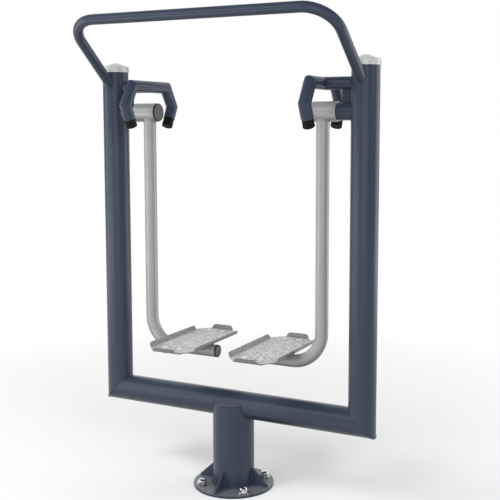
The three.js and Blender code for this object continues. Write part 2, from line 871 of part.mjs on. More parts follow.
// Lip along Y, folded up at an edge of the floor in the +X direction, set in from the floor's corners and
// rounded at both ends
function lip(edge, edgeHalfLength, endRounding) {
  const halfLength = edgeHalfLength - lipInset;
  const fold = new THREE.ExtrudeGeometry(lipSection(), { depth: 2 * halfLength, bevelEnabled: false });
  fold.translate(0, 0, -halfLength).rotateX(Math.PI / 2).translate(edge, 0, 0);
  const floor = -trayThickness - cutOverrun;
  const quarter = Math.PI / 2;
  const profile = new THREE.Shape([point(-halfLength, floor), point(halfLength, floor)]);
  profile.absellipse(halfLength - endRounding, 0, endRounding, lipHeight, 0, quarter, false);
  profile.absellipse(endRounding - halfLength, 0, endRounding, lipHeight, quarter, 2 * quarter, false);
  const depth = 2 * (trayHalfLength + lipHeight);
  const options = { depth, bevelEnabled: false, curveSegments: lipEndSteps };
  const window = new THREE.ExtrudeGeometry(profile, options);
  window.rotateX(Math.PI / 2).rotateZ(Math.PI / 2).translate(-depth / 2, 0, 0);
  return geometryOf(solidOf(fold).intersect(solidOf(window)));
}

// Tray: a flat floor with its corners cut off, and a lip folded up along each of its four sides
function pedalTray() {
  const outline = new THREE.Shape([
    point(-trayEndHalfLength, -trayHalfLength),
    point(trayEndHalfLength, -trayHalfLength),
    point(trayHalfWidth, -traySideHalfLength),
    point(trayHalfWidth, traySideHalfLength),
    point(trayEndHalfLength, trayHalfLength),
    point(-trayEndHalfLength, trayHalfLength),
    point(-trayHalfWidth, traySideHalfLength),
    point(-trayHalfWidth, -traySideHalfLength),
  ]);
  const floor = new THREE.ExtrudeGeometry(outline, { depth: trayThickness, bevelEnabled: false });
  floor.translate(0, 0, -trayThickness);
  const lips = [];
  for (const turn of [0, Math.PI]) {
    lips.push(lip(trayHalfWidth, traySideHalfLength, sideLipEndRounding).rotateZ(turn));
    lips.push(lip(trayHalfLength, trayEndHalfLength, endLipEndRounding).rotateZ(turn + Math.PI / 2));
  }
  const sheet = join(floor, ...lips);
  return cut(sheet, ...screwHoles(-trayThickness - cutOverrun, cutOverrun));
}

// Button-head screw through tray and carrier, with its nut underneath
function pedalScrew() {
  const shank = screwDiameter / 2;
  const head = screwHeadDiameter / 2;
  const nutTop = carrierTop - carrierThickness - fitGap - trayTop;
  const nutBottom = nutTop - screwNutHeight;
  const screw = turnedAlongZ([
    [nutBottom - fitGap, 0],
    [nutBottom - fitGap, shank],
    [fitGap, shank],
    [fitGap, head],
    [fitGap + screwHeadHeight / 2, head],
    [fitGap + screwHeadHeight, head * screwHeadTopShare],
    [fitGap + screwHeadHeight, 0],
  ], screwSides);
  return join(screw, hexPrism(screwNutAcrossFlats, nutBottom, screwNutHeight));
}

// Assembly

function addPiece(group, name, geometry, finish) {
  const mesh = new THREE.Mesh(closedBody(geometry), newMaterial(finish));
  mesh.name = name;
  group.add(mesh);
  return mesh;
}

function buildBase() {
  const base = new THREE.Group();
  addPiece(base, 'base_flange', baseFlange(), 'framePaint');
  addPiece(base, 'base_post', basePost(), 'framePaint');
  for (const [name, turn] of [['front', 0], ['rear', Math.PI]]) {
    const closing = addPiece(base, `post_plate_${name}`, postPlate(), 'framePaint');
    closing.position.z = postTop - postPlateThickness;
    closing.rotation.z = turn;
  }
  ['right', 'rear', 'left', 'front'].forEach((name, i) => {
    const web = addPiece(base, `gusset_${name}`, gusset(), 'framePaint');
    web.position.z = flangeTop;
    web.rotation.z = i * Math.PI / 2;
  });
  anchorPlaces().forEach(({ x, y }, i) => {
    const washer = addPiece(base, `anchor_washer_${i + 1}`, anchorWasher(), 'stainless');
    washer.position.set(x, y, flangeTop);
    const nut = addPiece(base, `anchor_nut_${i + 1}`, anchorNut(), 'stainless');
    nut.position.set(x, y, 0);
  });
  return base;
}

// The fixed pieces of one side, outwards along +X
function buildSide(side, facings) {
  const group = new THREE.Group();
  addPiece(group, `upright_${side}`, upright(), 'framePaint');
  const cap = addPiece(group, `upright_cap_${side}`, uprightCap(), 'capMetal');
  cap.position.x = uprightHalfSpan;
  const arm = addPiece(group, `bracket_arm_${side}`, bracketArm(), 'framePaint');
  arm.position.z = pivotHeight + bracketTopRise;
  const bracket = addPiece(group, `stop_bracket_${side}`, stopBracket(), 'framePaint');
  bracket.position.set(legHalfSpan, 0, pivotHeight);
  for (const [name, facing] of facings) {
    const { steelEnd, direction } = bracketEnd(facing);
    const buffer = addPiece(group, `buffer_${side}_${name}`, rubberBuffer(), 'rubber');
    buffer.position.copy(bracket.position).add(steelEnd);
    buffer.quaternion.setFromUnitVectors(alongZ, direction);
  }
  const pivot = new THREE.Group();
  pivot.position.z = pivotHeight;
  addPiece(pivot, `axle_collar_${side}`, axleCollar(), 'framePaint');
  addPiece(pivot, `axle_shaft_${side}`, axleShaft(), 'steel');
  addPiece(pivot, `axle_nut_${side}`, axleNut(), 'steel');
  group.add(pivot);
  return group;
}

// The swinging pieces of one side, outwards along +X
function buildLeg(side) {
  const group = new THREE.Group();
  const pivot = new THREE.Group();
  pivot.position.z = pivotHeight;
  addPiece(pivot, `hub_${side}`, hubShell(), 'silverPaint');
  addPiece(pivot, `hub_cap_${side}`, hubCap(), 'blackPlastic');
  const outboard = addPiece(pivot, `bearing_${side}_outboard`, bearing(), 'steel');
  outboard.position.x = outboardBearingFace - bearingWidth;
  const inboard = addPiece(pivot, `bearing_${side}_inboard`, bearing(), 'steel');
  inboard.position.x = inboardBearingFace;
  group.add(pivot);
  addPiece(group, `leg_${side}`, legTube(), 'silverPaint');
  const plug = addPiece(group, `foot_plug_${side}`, footPlug(), 'greyPlastic');
  plug.position.z = footAxisHeight;
  const pedal = new THREE.Group();
  pedal.position.set(pedalCentre, 0, trayTop);
  addPiece(pedal, `pedal_carrier_${side}`, pedalCarrier(), 'silverPaint');
  addPiece(pedal, `pedal_tray_${side}`, pedalTray(), 'trayMetal');
  screwPlaces().forEach(({ x, y }, i) => {
    const screw = addPiece(pedal, `pedal_screw_${side}_${i + 1}`, pedalScrew(), 'stainless');
    screw.position.set(x, y, 0);
  });
  group.add(pedal);
  return group;
}

const walker = new THREE.Group();
walker.add(buildBase());
addPiece(walker, 'cross_beam', crossBeam(), 'framePaint');
addPiece(walker, 'handrail', handrail(), 'framePaint');
walker.add(buildSide('right', [['front', -1], ['rear', 1]]));
walker.add(buildLeg('right'));

// The left side is the right one turned half way round, which swaps its front and rear ends
const leftHalf = new THREE.Group();
leftHalf.rotation.z = Math.PI;
leftHalf.add(buildSide('left', [['rear', -1], ['front', 1]]));
leftHalf.add(buildLeg('left'));
walker.add(leftHalf);

export default walker;
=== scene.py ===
"""Outdoor air walker: the finished surfaces, welds, fasteners and paint round its packed construction.

Metres, +Z up. The front is towards -Y, where the handrail leans out, and the right-hand side is +X.
"""

import json
import logging
import math
from collections.abc import Callable, Sequence
from dataclasses import dataclass, field
from enum import Enum

import bmesh
import bpy
from mathutils import Matrix, Vector


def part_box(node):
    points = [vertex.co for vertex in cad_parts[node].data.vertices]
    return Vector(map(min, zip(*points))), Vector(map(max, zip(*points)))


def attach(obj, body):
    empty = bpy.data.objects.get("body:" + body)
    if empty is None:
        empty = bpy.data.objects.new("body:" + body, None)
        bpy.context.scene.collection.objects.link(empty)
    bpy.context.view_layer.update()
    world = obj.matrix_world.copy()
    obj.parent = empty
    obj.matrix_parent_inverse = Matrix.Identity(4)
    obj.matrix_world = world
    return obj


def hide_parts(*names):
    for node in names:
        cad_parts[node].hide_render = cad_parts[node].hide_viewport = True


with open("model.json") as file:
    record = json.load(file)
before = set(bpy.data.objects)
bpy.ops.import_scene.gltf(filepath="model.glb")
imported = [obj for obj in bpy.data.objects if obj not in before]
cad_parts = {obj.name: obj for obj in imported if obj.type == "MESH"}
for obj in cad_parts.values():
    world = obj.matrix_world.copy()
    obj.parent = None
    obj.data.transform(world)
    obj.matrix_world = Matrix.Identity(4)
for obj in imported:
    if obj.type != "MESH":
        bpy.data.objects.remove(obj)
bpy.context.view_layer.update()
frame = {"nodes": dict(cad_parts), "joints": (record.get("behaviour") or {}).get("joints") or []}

log = logging.getLogger("air_walker")

ALONG_X = Vector((1, 0, 0))
ALONG_Y = Vector((0, 1, 0))
ALONG_Z = Vector((0, 0, 1))
FULL_TURN = 2 * math.pi
HALF_TURN = math.pi
QUARTER_TURN = math.pi / 2

Trim = Callable[[Vector, Vector], Vector]
Profile = Sequence[tuple[float, float]]


class Slot(Enum):
    """The record's material slots."""

    FRAME_PAINT = "frame_paint"
    SILVER_PAINT = "silver_paint"
    CAP_METAL = "cap_metal"
    STAINLESS = "stainless"
    STEEL = "steel"
    TRAY_METAL = "tray_metal"
    RUBBER = "rubber"
    BLACK_PLASTIC = "black_plastic"
    # Black plastic painted grey on its end faces, as those faces look when lit: painted light.
    PAINTED_LIT_FACE = "grey_plastic"


class Body(Enum):
    """The bodies that pieces ride on."""

    FRAME = "frame"
    LEFT_LEG = "left_leg"
    RIGHT_LEG = "right_leg"


@dataclass(frozen=True)
class Side:
    """One half of the walker. The left half is the right one turned half way round."""

    name: str
    turn: float
    body: Body
    front: str
    rear: str

    def matrix(self) -> Matrix:
        """Returns the turn that brings the right half's places to this half."""
        return Matrix.Rotation(self.turn, 4, "Z")


RIGHT = Side("right", 0.0, Body.RIGHT_LEG, "front", "rear")
LEFT = Side("left", HALF_TURN, Body.LEFT_LEG, "rear", "front")


class NodeMaterial:
    """A node material in the making, with short calls for the nodes that the finishes share."""

    def __init__(self, name: str) -> None:
        """Starts a material.

        Args:
            name: The material's name.
        """
        self.material = bpy.data.materials.new(name)
        self.material.use_nodes = True
        self.tree = self.material.node_tree
        self.shader = self.tree.nodes["Principled BSDF"]
        coordinates = self.tree.nodes.new("ShaderNodeTexCoord").outputs
        self.place = coordinates["Object"]
        self.facing = coordinates["Normal"]

    def link(self, source: bpy.types.NodeSocket, target: bpy.types.NodeSocket) -> None:
        """Links one socket to another."""
        self.tree.links.new(source, target)

    def noise(self, scale: float, detail: float, stretch: tuple[float, float, float]
              ) -> bpy.types.NodeSocket:
        """Adds cloudy noise.

        Args:
            scale: Features in a metre.
            detail: Octaves.
            stretch: How many times the object's coordinates are scaled along each axis.

        Returns:
            The noise's value, from 0 to 1.
        """
        mapping = self.tree.nodes.new("ShaderNodeMapping")
        mapping.inputs["Scale"].default_value = stretch
        self.link(self.place, mapping.inputs["Vector"])
        node = self.tree.nodes.new("ShaderNodeTexNoise")
        node.inputs["Scale"].default_value = scale
        node.inputs["Detail"].default_value = detail
        self.link(mapping.outputs["Vector"], node.inputs["Vector"])
        return node.outputs["Fac"]

    def cells(self, scale: float) -> bpy.types.Node:
        """Adds a field of cells.

        Args:
            scale: Cells in a metre.

        Returns:
            Its node, with a distance to the nearest cell's middle and a colour for each cell.
        """
        node = self.tree.nodes.new("ShaderNodeTexVoronoi")
        node.inputs["Scale"].default_value = scale
        self.link(self.place, node.inputs["Vector"])
        return node

    def spangles(self, scale: float) -> bpy.types.NodeSocket:
        """Adds a field of crystals.

        Args:
            scale: Crystals in a metre.

        Returns:
            A value from 0 to 1 that each crystal has of its own.
        """
        node = self.cells(scale)
        split = self.tree.nodes.new("ShaderNodeSeparateColor")
        self.link(node.outputs["Color"], split.inputs["Color"])
        return split.outputs["Red"]

    def painted_top_light_mask(self) -> bpy.types.NodeSocket:
        """Finds how far a face looks up along its piece's Z: the mask for painted top light.

        Returns:
            1 where a face looks straight up, and 0 elsewhere.
        """
        split = self.tree.nodes.new("ShaderNodeSeparateXYZ")
        self.link(self.facing, split.inputs["Vector"])
        return self.ranged(split.outputs["Z"], 0.0, 1.0, *TOP_LIGHT_MASK_LIMITS)

    def ranged(self, value: bpy.types.NodeSocket, low: float, high: float, start: float = 0.3,
               stop: float = 0.7) -> bpy.types.NodeSocket:
        """Maps a value between two limits to a range.

        Args:
            value: What varies.
            low: The result at the lower limit.
            high: The result at the upper limit.
            start: The lower limit.
            stop: The upper limit.

        Returns:
            The mapped value.
        """
        node = self.tree.nodes.new("ShaderNodeMapRange")
        for name, number in (("From Min", start), ("From Max", stop), ("To Min", low), ("To Max", high)):
            node.inputs[name].default_value = number
        self.link(value, node.inputs["Value"])
        return node.outputs["Result"]

    def blended(self, share: bpy.types.NodeSocket, first: Sequence[float] | bpy.types.NodeSocket,
                second: Sequence[float] | bpy.types.NodeSocket) -> bpy.types.NodeSocket:
        """Blends two colours.

        Args:
            share: How much of the second colour.
            first: The first colour, or a socket that gives it.
            second: The second colour, or a socket that gives it.

        Returns:
            The blended colour.
        """
        node = self.tree.nodes.new("ShaderNodeMix")
        node.data_type = "RGBA"
        sockets = [socket for socket in node.inputs if socket.type == "RGBA"]
        for socket, colour in zip(sockets, (first, second)):
            if isinstance(colour, bpy.types.NodeSocket):
                self.link(colour, socket)
            else:
                socket.default_value = (*colour, 1.0)
        self.link(share, node.inputs["Factor"])
        return next(socket for socket in node.outputs if socket.type == "RGBA")

    def bumped(self, height: bpy.types.NodeSocket, depth: float, strength: float,
               under: bpy.types.NodeSocket | None = None) -> bpy.types.NodeSocket:
        """Turns a height into a normal.

        Args:
            height: The height, from 0 to 1.
            depth: What a height of 1 means, in metres.
            strength: How much of it shows.
            under: A normal below it.

        Returns:
            The normal.
        """
        node = self.tree.nodes.new("ShaderNodeBump")
        node.inputs["Distance"].default_value = depth
        node.inputs["Strength"].default_value = strength
        self.link(height, node.inputs["Height"])
        if under is not None:
            self.link(under, node.inputs["Normal"])
        return node.outputs["Normal"]


# How near to straight up a face must look to take the painted top light.
TOP_LIGHT_MASK_LIMITS = (0.985, 0.998)
CLOUD_DETAIL = 4.0
RELIEF_DETAIL = 2.0


@dataclass(frozen=True)
class Finish:
    """A surface whose tone, gloss and relief vary a little from place to place."""

    name: str
    tone: tuple[float, float, float]
    deep_tone: tuple[float, float, float]
    gloss: tuple[float, float]
    metallic: float = 0.0
    cloud_scale: float = 9.0
    cloud_stretch: tuple[float, float, float] = (1.0, 1.0, 1.0)
    relief_scale: float = 700.0
    relief_depth: float = 0.0002
    relief_strength: float = 0.2
    fleck_scale: float = 0.0
    fleck_strength: float = 0.0
    spangle_scale: float = 0.0
    specular: float = 0.5
    # Lighter tones for faces that look up: painted top light, as if those faces were lit from above.
    painted_top_light_tones: tuple[tuple[float, float, float], tuple[float, float, float]] | None = None

    def material(self) -> bpy.types.Material:
        """Builds the finish.

        Returns:
            Its node material.
        """
        made = NodeMaterial(self.name)
        cloud = made.noise(self.cloud_scale, CLOUD_DETAIL, self.cloud_stretch)
        share = made.spangles(self.spangle_scale) if self.spangle_scale else made.ranged(cloud, 0.0, 1.0)
        colour = made.blended(share, self.tone, self.deep_tone)
        # Faces that look up are painted lighter: painted top light.
        if self.painted_top_light_tones:
            colour = made.blended(made.painted_top_light_mask(), colour, made.blended(share, *self.painted_top_light_tones))
        made.link(colour, made.shader.inputs["Base Color"])
        made.link(made.ranged(cloud, *self.gloss), made.shader.inputs["Roughness"])
        made.shader.inputs["Metallic"].default_value = self.metallic
        made.shader.inputs["Specular IOR Level"].default_value = self.specular
        relief = made.noise(self.relief_scale, RELIEF_DETAIL, self.cloud_stretch)
        normal = made.bumped(relief, self.relief_depth, self.relief_strength)
        if self.fleck_scale:
            flecks = made.cells(self.fleck_scale).outputs["Distance"]
            normal = made.bumped(flecks, self.relief_depth, self.fleck_strength, normal)
        made.link(normal, made.shader.inputs["Normal"])
        return made.material


FINISHES = {
    Slot.FRAME_PAINT: Finish(
        "anthracite_powder_coat", (0.040, 0.053, 0.087), (0.036, 0.048, 0.079), (0.30, 0.36),
        cloud_scale=5.0, relief_scale=520.0, relief_depth=0.0003, relief_strength=0.16,
        fleck_scale=1500.0, fleck_strength=0.05, specular=0.38,
        # The lighter tones on faces that look up, such as the flange's top, are painted top light.
        painted_top_light_tones=((0.158, 0.162, 0.188), (0.142, 0.146, 0.170))),
    Slot.SILVER_PAINT: Finish(
        "silver_powder_coat", (0.39, 0.39, 0.393), (0.365, 0.365, 0.368), (0.34, 0.42), metallic=0.25,
        relief_scale=600.0, relief_strength=0.07, fleck_scale=2200.0, fleck_strength=0.03),
    Slot.CAP_METAL: Finish(
        "satin_aluminium", (0.66, 0.66, 0.67), (0.60, 0.60, 0.61), (0.36, 0.46), metallic=0.2,
        cloud_scale=30.0, cloud_stretch=(1.0, 1.0, 14.0), relief_scale=240.0, relief_strength=0.08),
    Slot.STAINLESS: Finish(
        "polished_stainless", (0.72, 0.72, 0.73), (0.62, 0.62, 0.64), (0.07, 0.14), metallic=1.0,
        cloud_scale=60.0, relief_scale=900.0, relief_strength=0.03),
    Slot.STEEL: Finish(
        "turned_steel", (0.55, 0.55, 0.56), (0.45, 0.45, 0.46), (0.28, 0.38), metallic=1.0,
        cloud_scale=80.0, cloud_stretch=(20.0, 1.0, 1.0), relief_strength=0.08),
    Slot.TRAY_METAL: Finish(
        "galvanised_sheet", (0.27, 0.27, 0.273), (0.21, 0.21, 0.213), (0.34, 0.46), metallic=0.3,
        cloud_scale=22.0, relief_scale=900.0, relief_strength=0.1, fleck_scale=1300.0,
        fleck_strength=0.04, spangle_scale=140.0,
        # The floor, which looks up, is painted about twice as light as the lips and edges: painted top
        # light, with painted shade on the faces turned from it.
        painted_top_light_tones=((0.58, 0.58, 0.585), (0.36, 0.36, 0.365))),
    Slot.RUBBER: Finish(
        "black_rubber", (0.006, 0.006, 0.0065), (0.009, 0.009, 0.010), (0.55, 0.65), specular=0.15,
        relief_scale=1100.0, relief_strength=0.3),
    Slot.BLACK_PLASTIC: Finish(
        "black_plastic", (0.012, 0.012, 0.013), (0.016, 0.016, 0.018), (0.38, 0.5), specular=0.35,
        relief_scale=1300.0, relief_strength=0.18),
    # Black plastic painted grey on the faces of the hub caps and foot plugs, as those faces look when lit:
    # painted light.
    Slot.PAINTED_LIT_FACE: Finish(
        "grey_plastic", (0.11, 0.11, 0.112), (0.09, 0.09, 0.092), (0.45, 0.56), specular=0.35,
        relief_scale=1300.0, relief_strength=0.25),
}

# Screw heads painted near-white and little metallic: a painted glint on each head.
SCREW_PAINTED_GLINT = Finish(
    "screw_painted_glint", (0.88, 0.88, 0.88), (0.78, 0.78, 0.78), (0.26, 0.34), metallic=0.2,
    cloud_scale=60.0, relief_scale=900.0, relief_strength=0.05)
# Near-white tread marks, each of its own brightness: painted glints.
TREAD_PAINTED_GLINTS = Finish(
    "tread_painted_glints", (0.94, 0.94, 0.94), (0.46, 0.46, 0.465), (0.26, 0.36), metallic=0.3,
    relief_scale=900.0, relief_strength=0.1, spangle_scale=75.0)


class Palette:
    """The materials, each made once."""

    def __init__(self) -> None:
        """Starts with no material made."""
        self.made: dict[str, bpy.types.Material] = {}

    def of(self, slot: Slot, special: Finish | None = None) -> bpy.types.Material:
        """Finds a material.

        Args:
            slot: The slot that it is of.
            special: The finish of a piece that differs from its slot's.

        Returns:
            The material.
        """
        finish = special or FINISHES[slot]
        if finish.name not in self.made:
            self.made[finish.name] = finish.material()
        return self.made[finish.name]


PALETTE = Palette()


class Form:
    """Points and faces of a piece in the making."""

    def __init__(self) -> None:
        """Starts empty."""
        self.points: list[Vector] = []
        self.faces: list[tuple[int, ...]] = []

    def ring(self, points: Sequence[Vector]) -> list[int]:
        """Adds points.

        Args:
            points: The points, in order.

        Returns:
            Their numbers.
        """
        first = len(self.points)
        self.points.extend(Vector(point) for point in points)
        return list(range(first, len(self.points)))

    def skin(self, rings: Sequence[list[int]], closed: bool = False) -> None:
        """Joins neighbouring rings by faces. A ring of one point makes a fan.

        Args:
            rings: Rings of point numbers.
            closed: Whether the last ring is joined to the first.
        """
        pairs = list(zip(rings, rings[1:]))
        if closed:
            pairs.append((rings[-1], rings[0]))
        for near, far in pairs:
            for k in range(max(len(near), len(far))):
                corners = (near[k % len(near)], near[(k + 1) % len(near)],
                           far[(k + 1) % len(far)], far[k % len(far)])
                self.faces.append(tuple(dict.fromkeys(corners)))

    def cap(self, ring: Sequence[int]) -> None:
        """Closes a ring with one face."""
        self.faces.append(tuple(ring))

    def add(self, other: "Form") -> "Form":
        """Takes in another form's points and faces.

        Args:
            other: The other form, which stays as it is.

        Returns:
            This form.
        """
        first = len(self.points)
        self.points.extend(point.copy() for point in other.points)
        self.faces.extend(tuple(first + corner for corner in face) for face in other.faces)
        return self

    def moved(self, matrix: Matrix) -> "Form":
        """Moves every point by a matrix and returns itself."""
        self.points = [matrix @ point for point in self.points]
        return self

    def mesh(self, name: str, bevel: float = 0.0) -> bpy.types.Mesh:
        """Makes the mesh, with its faces out, its edges eased and its curves shaded smooth.

        Args:
            name: The mesh's name.
            bevel: The width that sharp edges are eased by, or 0.

        Returns:
            The mesh.
        """
        mesh = bpy.data.meshes.new(name)
        mesh.from_pydata([tuple(point) for point in self.points], [], self.faces)
        work = bmesh.new()
        work.from_mesh(mesh)
        bmesh.ops.remove_doubles(work, verts=work.verts, dist=MERGE_DISTANCE)
        bmesh.ops.recalc_face_normals(work, faces=work.faces)
        eased = set()
        if bevel:
            sharp = [edge for edge in work.edges if not is_smooth(edge)]
            eased.update(bmesh.ops.bevel(work, geom=sharp, offset=bevel, segments=BEVEL_SEGMENTS,
                                         profile=ROUND_PROFILE, affect="EDGES",
                                         clamp_overlap=True)["faces"])
            bmesh.ops.recalc_face_normals(work, faces=work.faces)
        for face in work.faces:
            face.smooth = True
        for edge in work.edges:
            borders = len(eased.intersection(edge.link_faces)) == 1
            edge.smooth = is_smooth(edge) and not borders
        work.to_mesh(mesh)
        work.free()
        return mesh


MERGE_DISTANCE = 0.000002
CREASE_ANGLE = math.radians(32)
BEVEL_SEGMENTS = 3
ROUND_PROFILE = 0.5


def is_smooth(edge: bmesh.types.BMEdge) -> bool:
    """Tells whether the surface runs on smoothly over an edge."""
    return len(edge.link_faces) == 2 and edge.calc_face_angle() <= CREASE_ANGLE


def circle(radius: float, sides: int, height: float = 0.0) -> list[Vector]:
    """Returns the points of a circle round Z."""
    angles = [FULL_TURN * k / sides for k in range(sides)]
    return [Vector((radius * math.cos(angle), radius * math.sin(angle), height)) for angle in angles]


def hexagon(flats: float, sides: int, height: float) -> list[Vector]:
    """Lays points on a hexagon round Z, evenly by angle.

    Args:
        flats: The size across flats.
        sides: How many points, a multiple of 12.
        height: Where, along Z.

    Returns:
        The points.
    """
    points = []
    flat = FULL_TURN / 6
    for k in range(sides):
        angle = FULL_TURN * k / sides
        from_flat = (angle + flat / 2) % flat - flat / 2
        radius = flats / 2 / math.cos(from_flat)
        points.append(Vector((radius * math.cos(angle), radius * math.sin(angle), height)))
    return points


def lofted(sections: Sequence[Sequence[Vector]], closed: bool = False, foot: bool = False,
           head: bool = False) -> Form:
    """Skins sections in order.

    Args:
        sections: Rings of points. A ring of one point is a tip.
        closed: Whether the last section is joined to the first.
        foot: Whether a face closes the first section.
        head: Whether a face closes the last section.

    Returns:
        The form.
    """
    form = Form()
    rings = [form.ring(points) for points in sections]
    form.skin(rings, closed)
    if foot:
        form.cap(rings[0])
    if head:
        form.cap(rings[-1])
    return form


def turned(profile: Profile, sides: int, closed: bool = False) -> Form:
    """Turns a profile round Z.

    Args:
        profile: Pairs of height and radius. A radius of 0 is a point on the axis.
        sides: How many points go round.
        closed: Whether the profile closes on itself.

    Returns:
        The turned form.
    """
    return lofted([circle(radius, sides, height) if radius else [Vector((0, 0, height))]
                   for height, radius in profile], closed)


def rod(low: float, high: float, radius: float, sides: int) -> Form:
    """Returns a solid rod round Z between two heights."""
    return turned([(low, 0), (low, radius), (high, radius), (high, 0)], sides)


def chamfered_hexagon(flats: float, low: float, high: float, sides: int) -> list[list[Vector]]:
    """Lays out a nut's hexagon between its two faces, with its corners turned off.

    Args:
        flats: The size across flats.
        low: The lower face.
        high: The upper face.
        sides: How many points go round, a multiple of 12.

    Returns:
        Rings of points from the lower face's circle to the upper one's.
    """
    slope = math.tan(NUT_CHAMFER)
    face_radius = flats / 2 * NUT_FACE_SHARE
    lower = hexagon(flats, sides, low)
    upper = hexagon(flats, sides, high)
    for near, far in zip(lower, upper):
        drop = (near.xy.length - face_radius) * slope
        near.z += drop
        far.z -= drop
    return [circle(face_radius, sides, low), lower, upper, circle(face_radius, sides, high)]


NUT_CHAMFER = math.radians(30)
NUT_FACE_SHARE = 0.96


def plate(outline: Profile, thickness: float) -> Form:
    """Extrudes an outline in the X-Z plane to both sides of it.

    Args:
        outline: Points in the plane.
        thickness: Along Y.

    Returns:
        The plate.
    """
    sheets = [[Vector((x, y, z)) for x, z in outline] for y in (-thickness / 2, thickness / 2)]
    return lofted(sheets, foot=True, head=True)


def slab(outline: Profile, low: float, high: float) -> Form:
    """Extrudes an outline in the X-Y plane between two heights.

    Args:
        outline: Points in the plane.
        low: The lower face.
        high: The upper face.

    Returns:
        The slab.
    """
    return lofted([[Vector((x, y, z)) for x, y in outline] for z in (low, high)], foot=True, head=True)


def rounded_path(corners: Sequence[Vector], radius: float, steps: int) -> list[Vector]:
    """Rounds the inner corners of a path to one radius.

    Args:
        corners: The corners, with both ends.
        radius: The bend's radius on the path.
        steps: Steps in each bend.

    Returns:
        The points of the rounded path.
    """
    path = [corners[0].copy()]
    for before, corner, after in zip(corners, corners[1:], corners[2:]):
        back = (before - corner).normalized()
        ahead = (after - corner).normalized()
        half = back.angle(ahead) / 2
        centre = corner + (back + ahead).normalized() * (radius / math.sin(half))
        start = corner + back * (radius / math.tan(half)) - centre
        axis = ahead.cross(back).normalized()
        for step in range(steps + 1):
            turn = Matrix.Rotation((HALF_TURN - 2 * half) * step / steps, 3, axis)
            path.append(centre + turn @ start)
    path.append(corners[-1].copy())
    return path


def to_plane(place: Vector, normal: Vector) -> Trim:
    """Makes a trim that ends a tube on a plane.

    Args:
        place: A point of the plane.
        normal: Its normal.

    Returns:
        The trim.
    """
    def trim(point: Vector, direction: Vector) -> Vector:
        """Slides a point along a direction to the plane."""
        return point + direction * ((place - point).dot(normal) / direction.dot(normal))
    return trim


def to_cylinder(place: Vector, axis: Vector, radius: float) -> Trim:
    """Makes a trim that ends a tube on the near side of a cylinder.

    Args:
        place: A point of the cylinder's axis.
        axis: The axis's direction.
        radius: The cylinder's radius.

    Returns:
        The trim.
    """
    def trim(point: Vector, direction: Vector) -> Vector:
        """Slides a point to the cylinder.

        Args:
            point: The point.
            direction: The way it slides.

        Returns:
            Where it enters the cylinder.
        """
        start = point - place
        start -= axis * start.dot(axis)
        run = direction - axis * direction.dot(axis)
        a = run.dot(run)
        b = start.dot(run)
        c = start.dot(start) - radius ** 2
        return point + direction * ((-b - math.sqrt(max(b * b - a * c, 0.0))) / a)
    return trim


@dataclass
class TubeRun:
    """A round tube along a flat path, with mitres at sharp corners and trimmed ends."""

    path: list[Vector]
    flat_normal: Vector
    diameter: float
    wall: float
    sides: int
    start: Trim | None = None
    end: Trim | None = None

    def ring(self, index: int, radius: float) -> list[Vector]:
        """Lays the ring of points at one point of the path.

        Args:
            index: Which point of the path; negative counts from its end.
            radius: The ring's radius.

        Returns:
            The points.
        """
        last = len(self.path) - 1
        index %= last + 1
        ahead = (self.path[min(index + 1, last)] - self.path[min(index, last - 1)]).normalized()
        behind = (self.path[max(index, 1)] - self.path[max(index - 1, 0)]).normalized()
        normal = (ahead + behind).normalized()
        across = behind.cross(self.flat_normal).normalized()
        points = []
        for k in range(self.sides):
            angle = FULL_TURN * k / self.sides
            offset = (self.flat_normal * math.cos(angle) + across * math.sin(angle)) * radius
            offset -= behind * (offset.dot(normal) / behind.dot(normal))
            points.append(self.path[index] + offset)
        if index == 0 and self.start:
            points = [self.start(point, -ahead) for point in points]
        if index == last and self.end:
            points = [self.end(point, behind) for point in points]
        return points

    def seam(self, index: int) -> list[Vector]:
        """Returns the outer ring at one point of the path."""
        return self.ring(index, self.diameter / 2)

    def form(self) -> Form:
        """Skins the tube's outside, its bore and its ends.

        Returns:
            The tube, open through its bore.
        """
        made = Form()
        places = range(len(self.path))
        outer = [made.ring(self.ring(i, self.diameter / 2)) for i in places]
        inner = [made.ring(self.ring(i, self.diameter / 2 - self.wall)) for i in places]
        made.skin(outer + inner[::-1], closed=True)
        return made


@dataclass
class WeldBead:
    """A painted weld: a low bead along a seam, with the ripples of its laying."""

    seam: list[Vector]
    toe: Vector
    radius: float
    closed: bool = True
    pitch: float = 0.0035
    ripple: float = 0.07
    sides: int = 8

    def spine(self) -> list[Vector]:
        """Walks the seam at even steps.

        Returns:
            Its points, a few to each ripple.
        """
        points = self.seam + [self.seam[0]] if self.closed else self.seam
        lengths = [(b - a).length for a, b in zip(points, points[1:])]
        count = max(BEAD_LEAST_STEPS, round(sum(lengths) / self.pitch) * RIPPLE_STEPS)
        step = sum(lengths) / count
        spine, passed, leg = [], 0.0, 0
        for k in range(count if self.closed else count + 1):
            while leg < len(lengths) - 1 and passed + lengths[leg] < k * step:
                passed += lengths[leg]
                leg += 1
            spine.append(points[leg].lerp(points[leg + 1], min(1.0, (k * step - passed) / lengths[leg])))
        return spine

    def form(self) -> Form:
        """Lays round sections along the seam, thicker at each ripple's crest.

        Returns:
            The bead.
        """
        spine = self.spine()
        last = len(spine) - 1
        sections = []
        for k, centre in enumerate(spine):
            if self.closed:
                along = spine[(k + 1) % (last + 1)] - spine[k - 1]
            else:
                along = spine[min(k + 1, last)] - spine[max(k - 1, 0)]
            along.normalize()
            up = (self.toe - along * self.toe.dot(along)).normalized()
            out = along.cross(up)
            radius = self.radius * (1 + self.ripple * (1 if k % RIPPLE_STEPS == 1 else -1))
            if not self.closed and k in (0, last):
                radius *= BEAD_END_SHARE
            angles = (FULL_TURN * side / self.sides for side in range(self.sides))
            sections.append([centre + (up * math.cos(a) + out * math.sin(a)) * radius for a in angles])
        return lofted(sections, self.closed, foot=not self.closed, head=not self.closed)


BEAD_END_SHARE = 0.45
BEAD_LEAST_STEPS = 6
RIPPLE_STEPS = 3


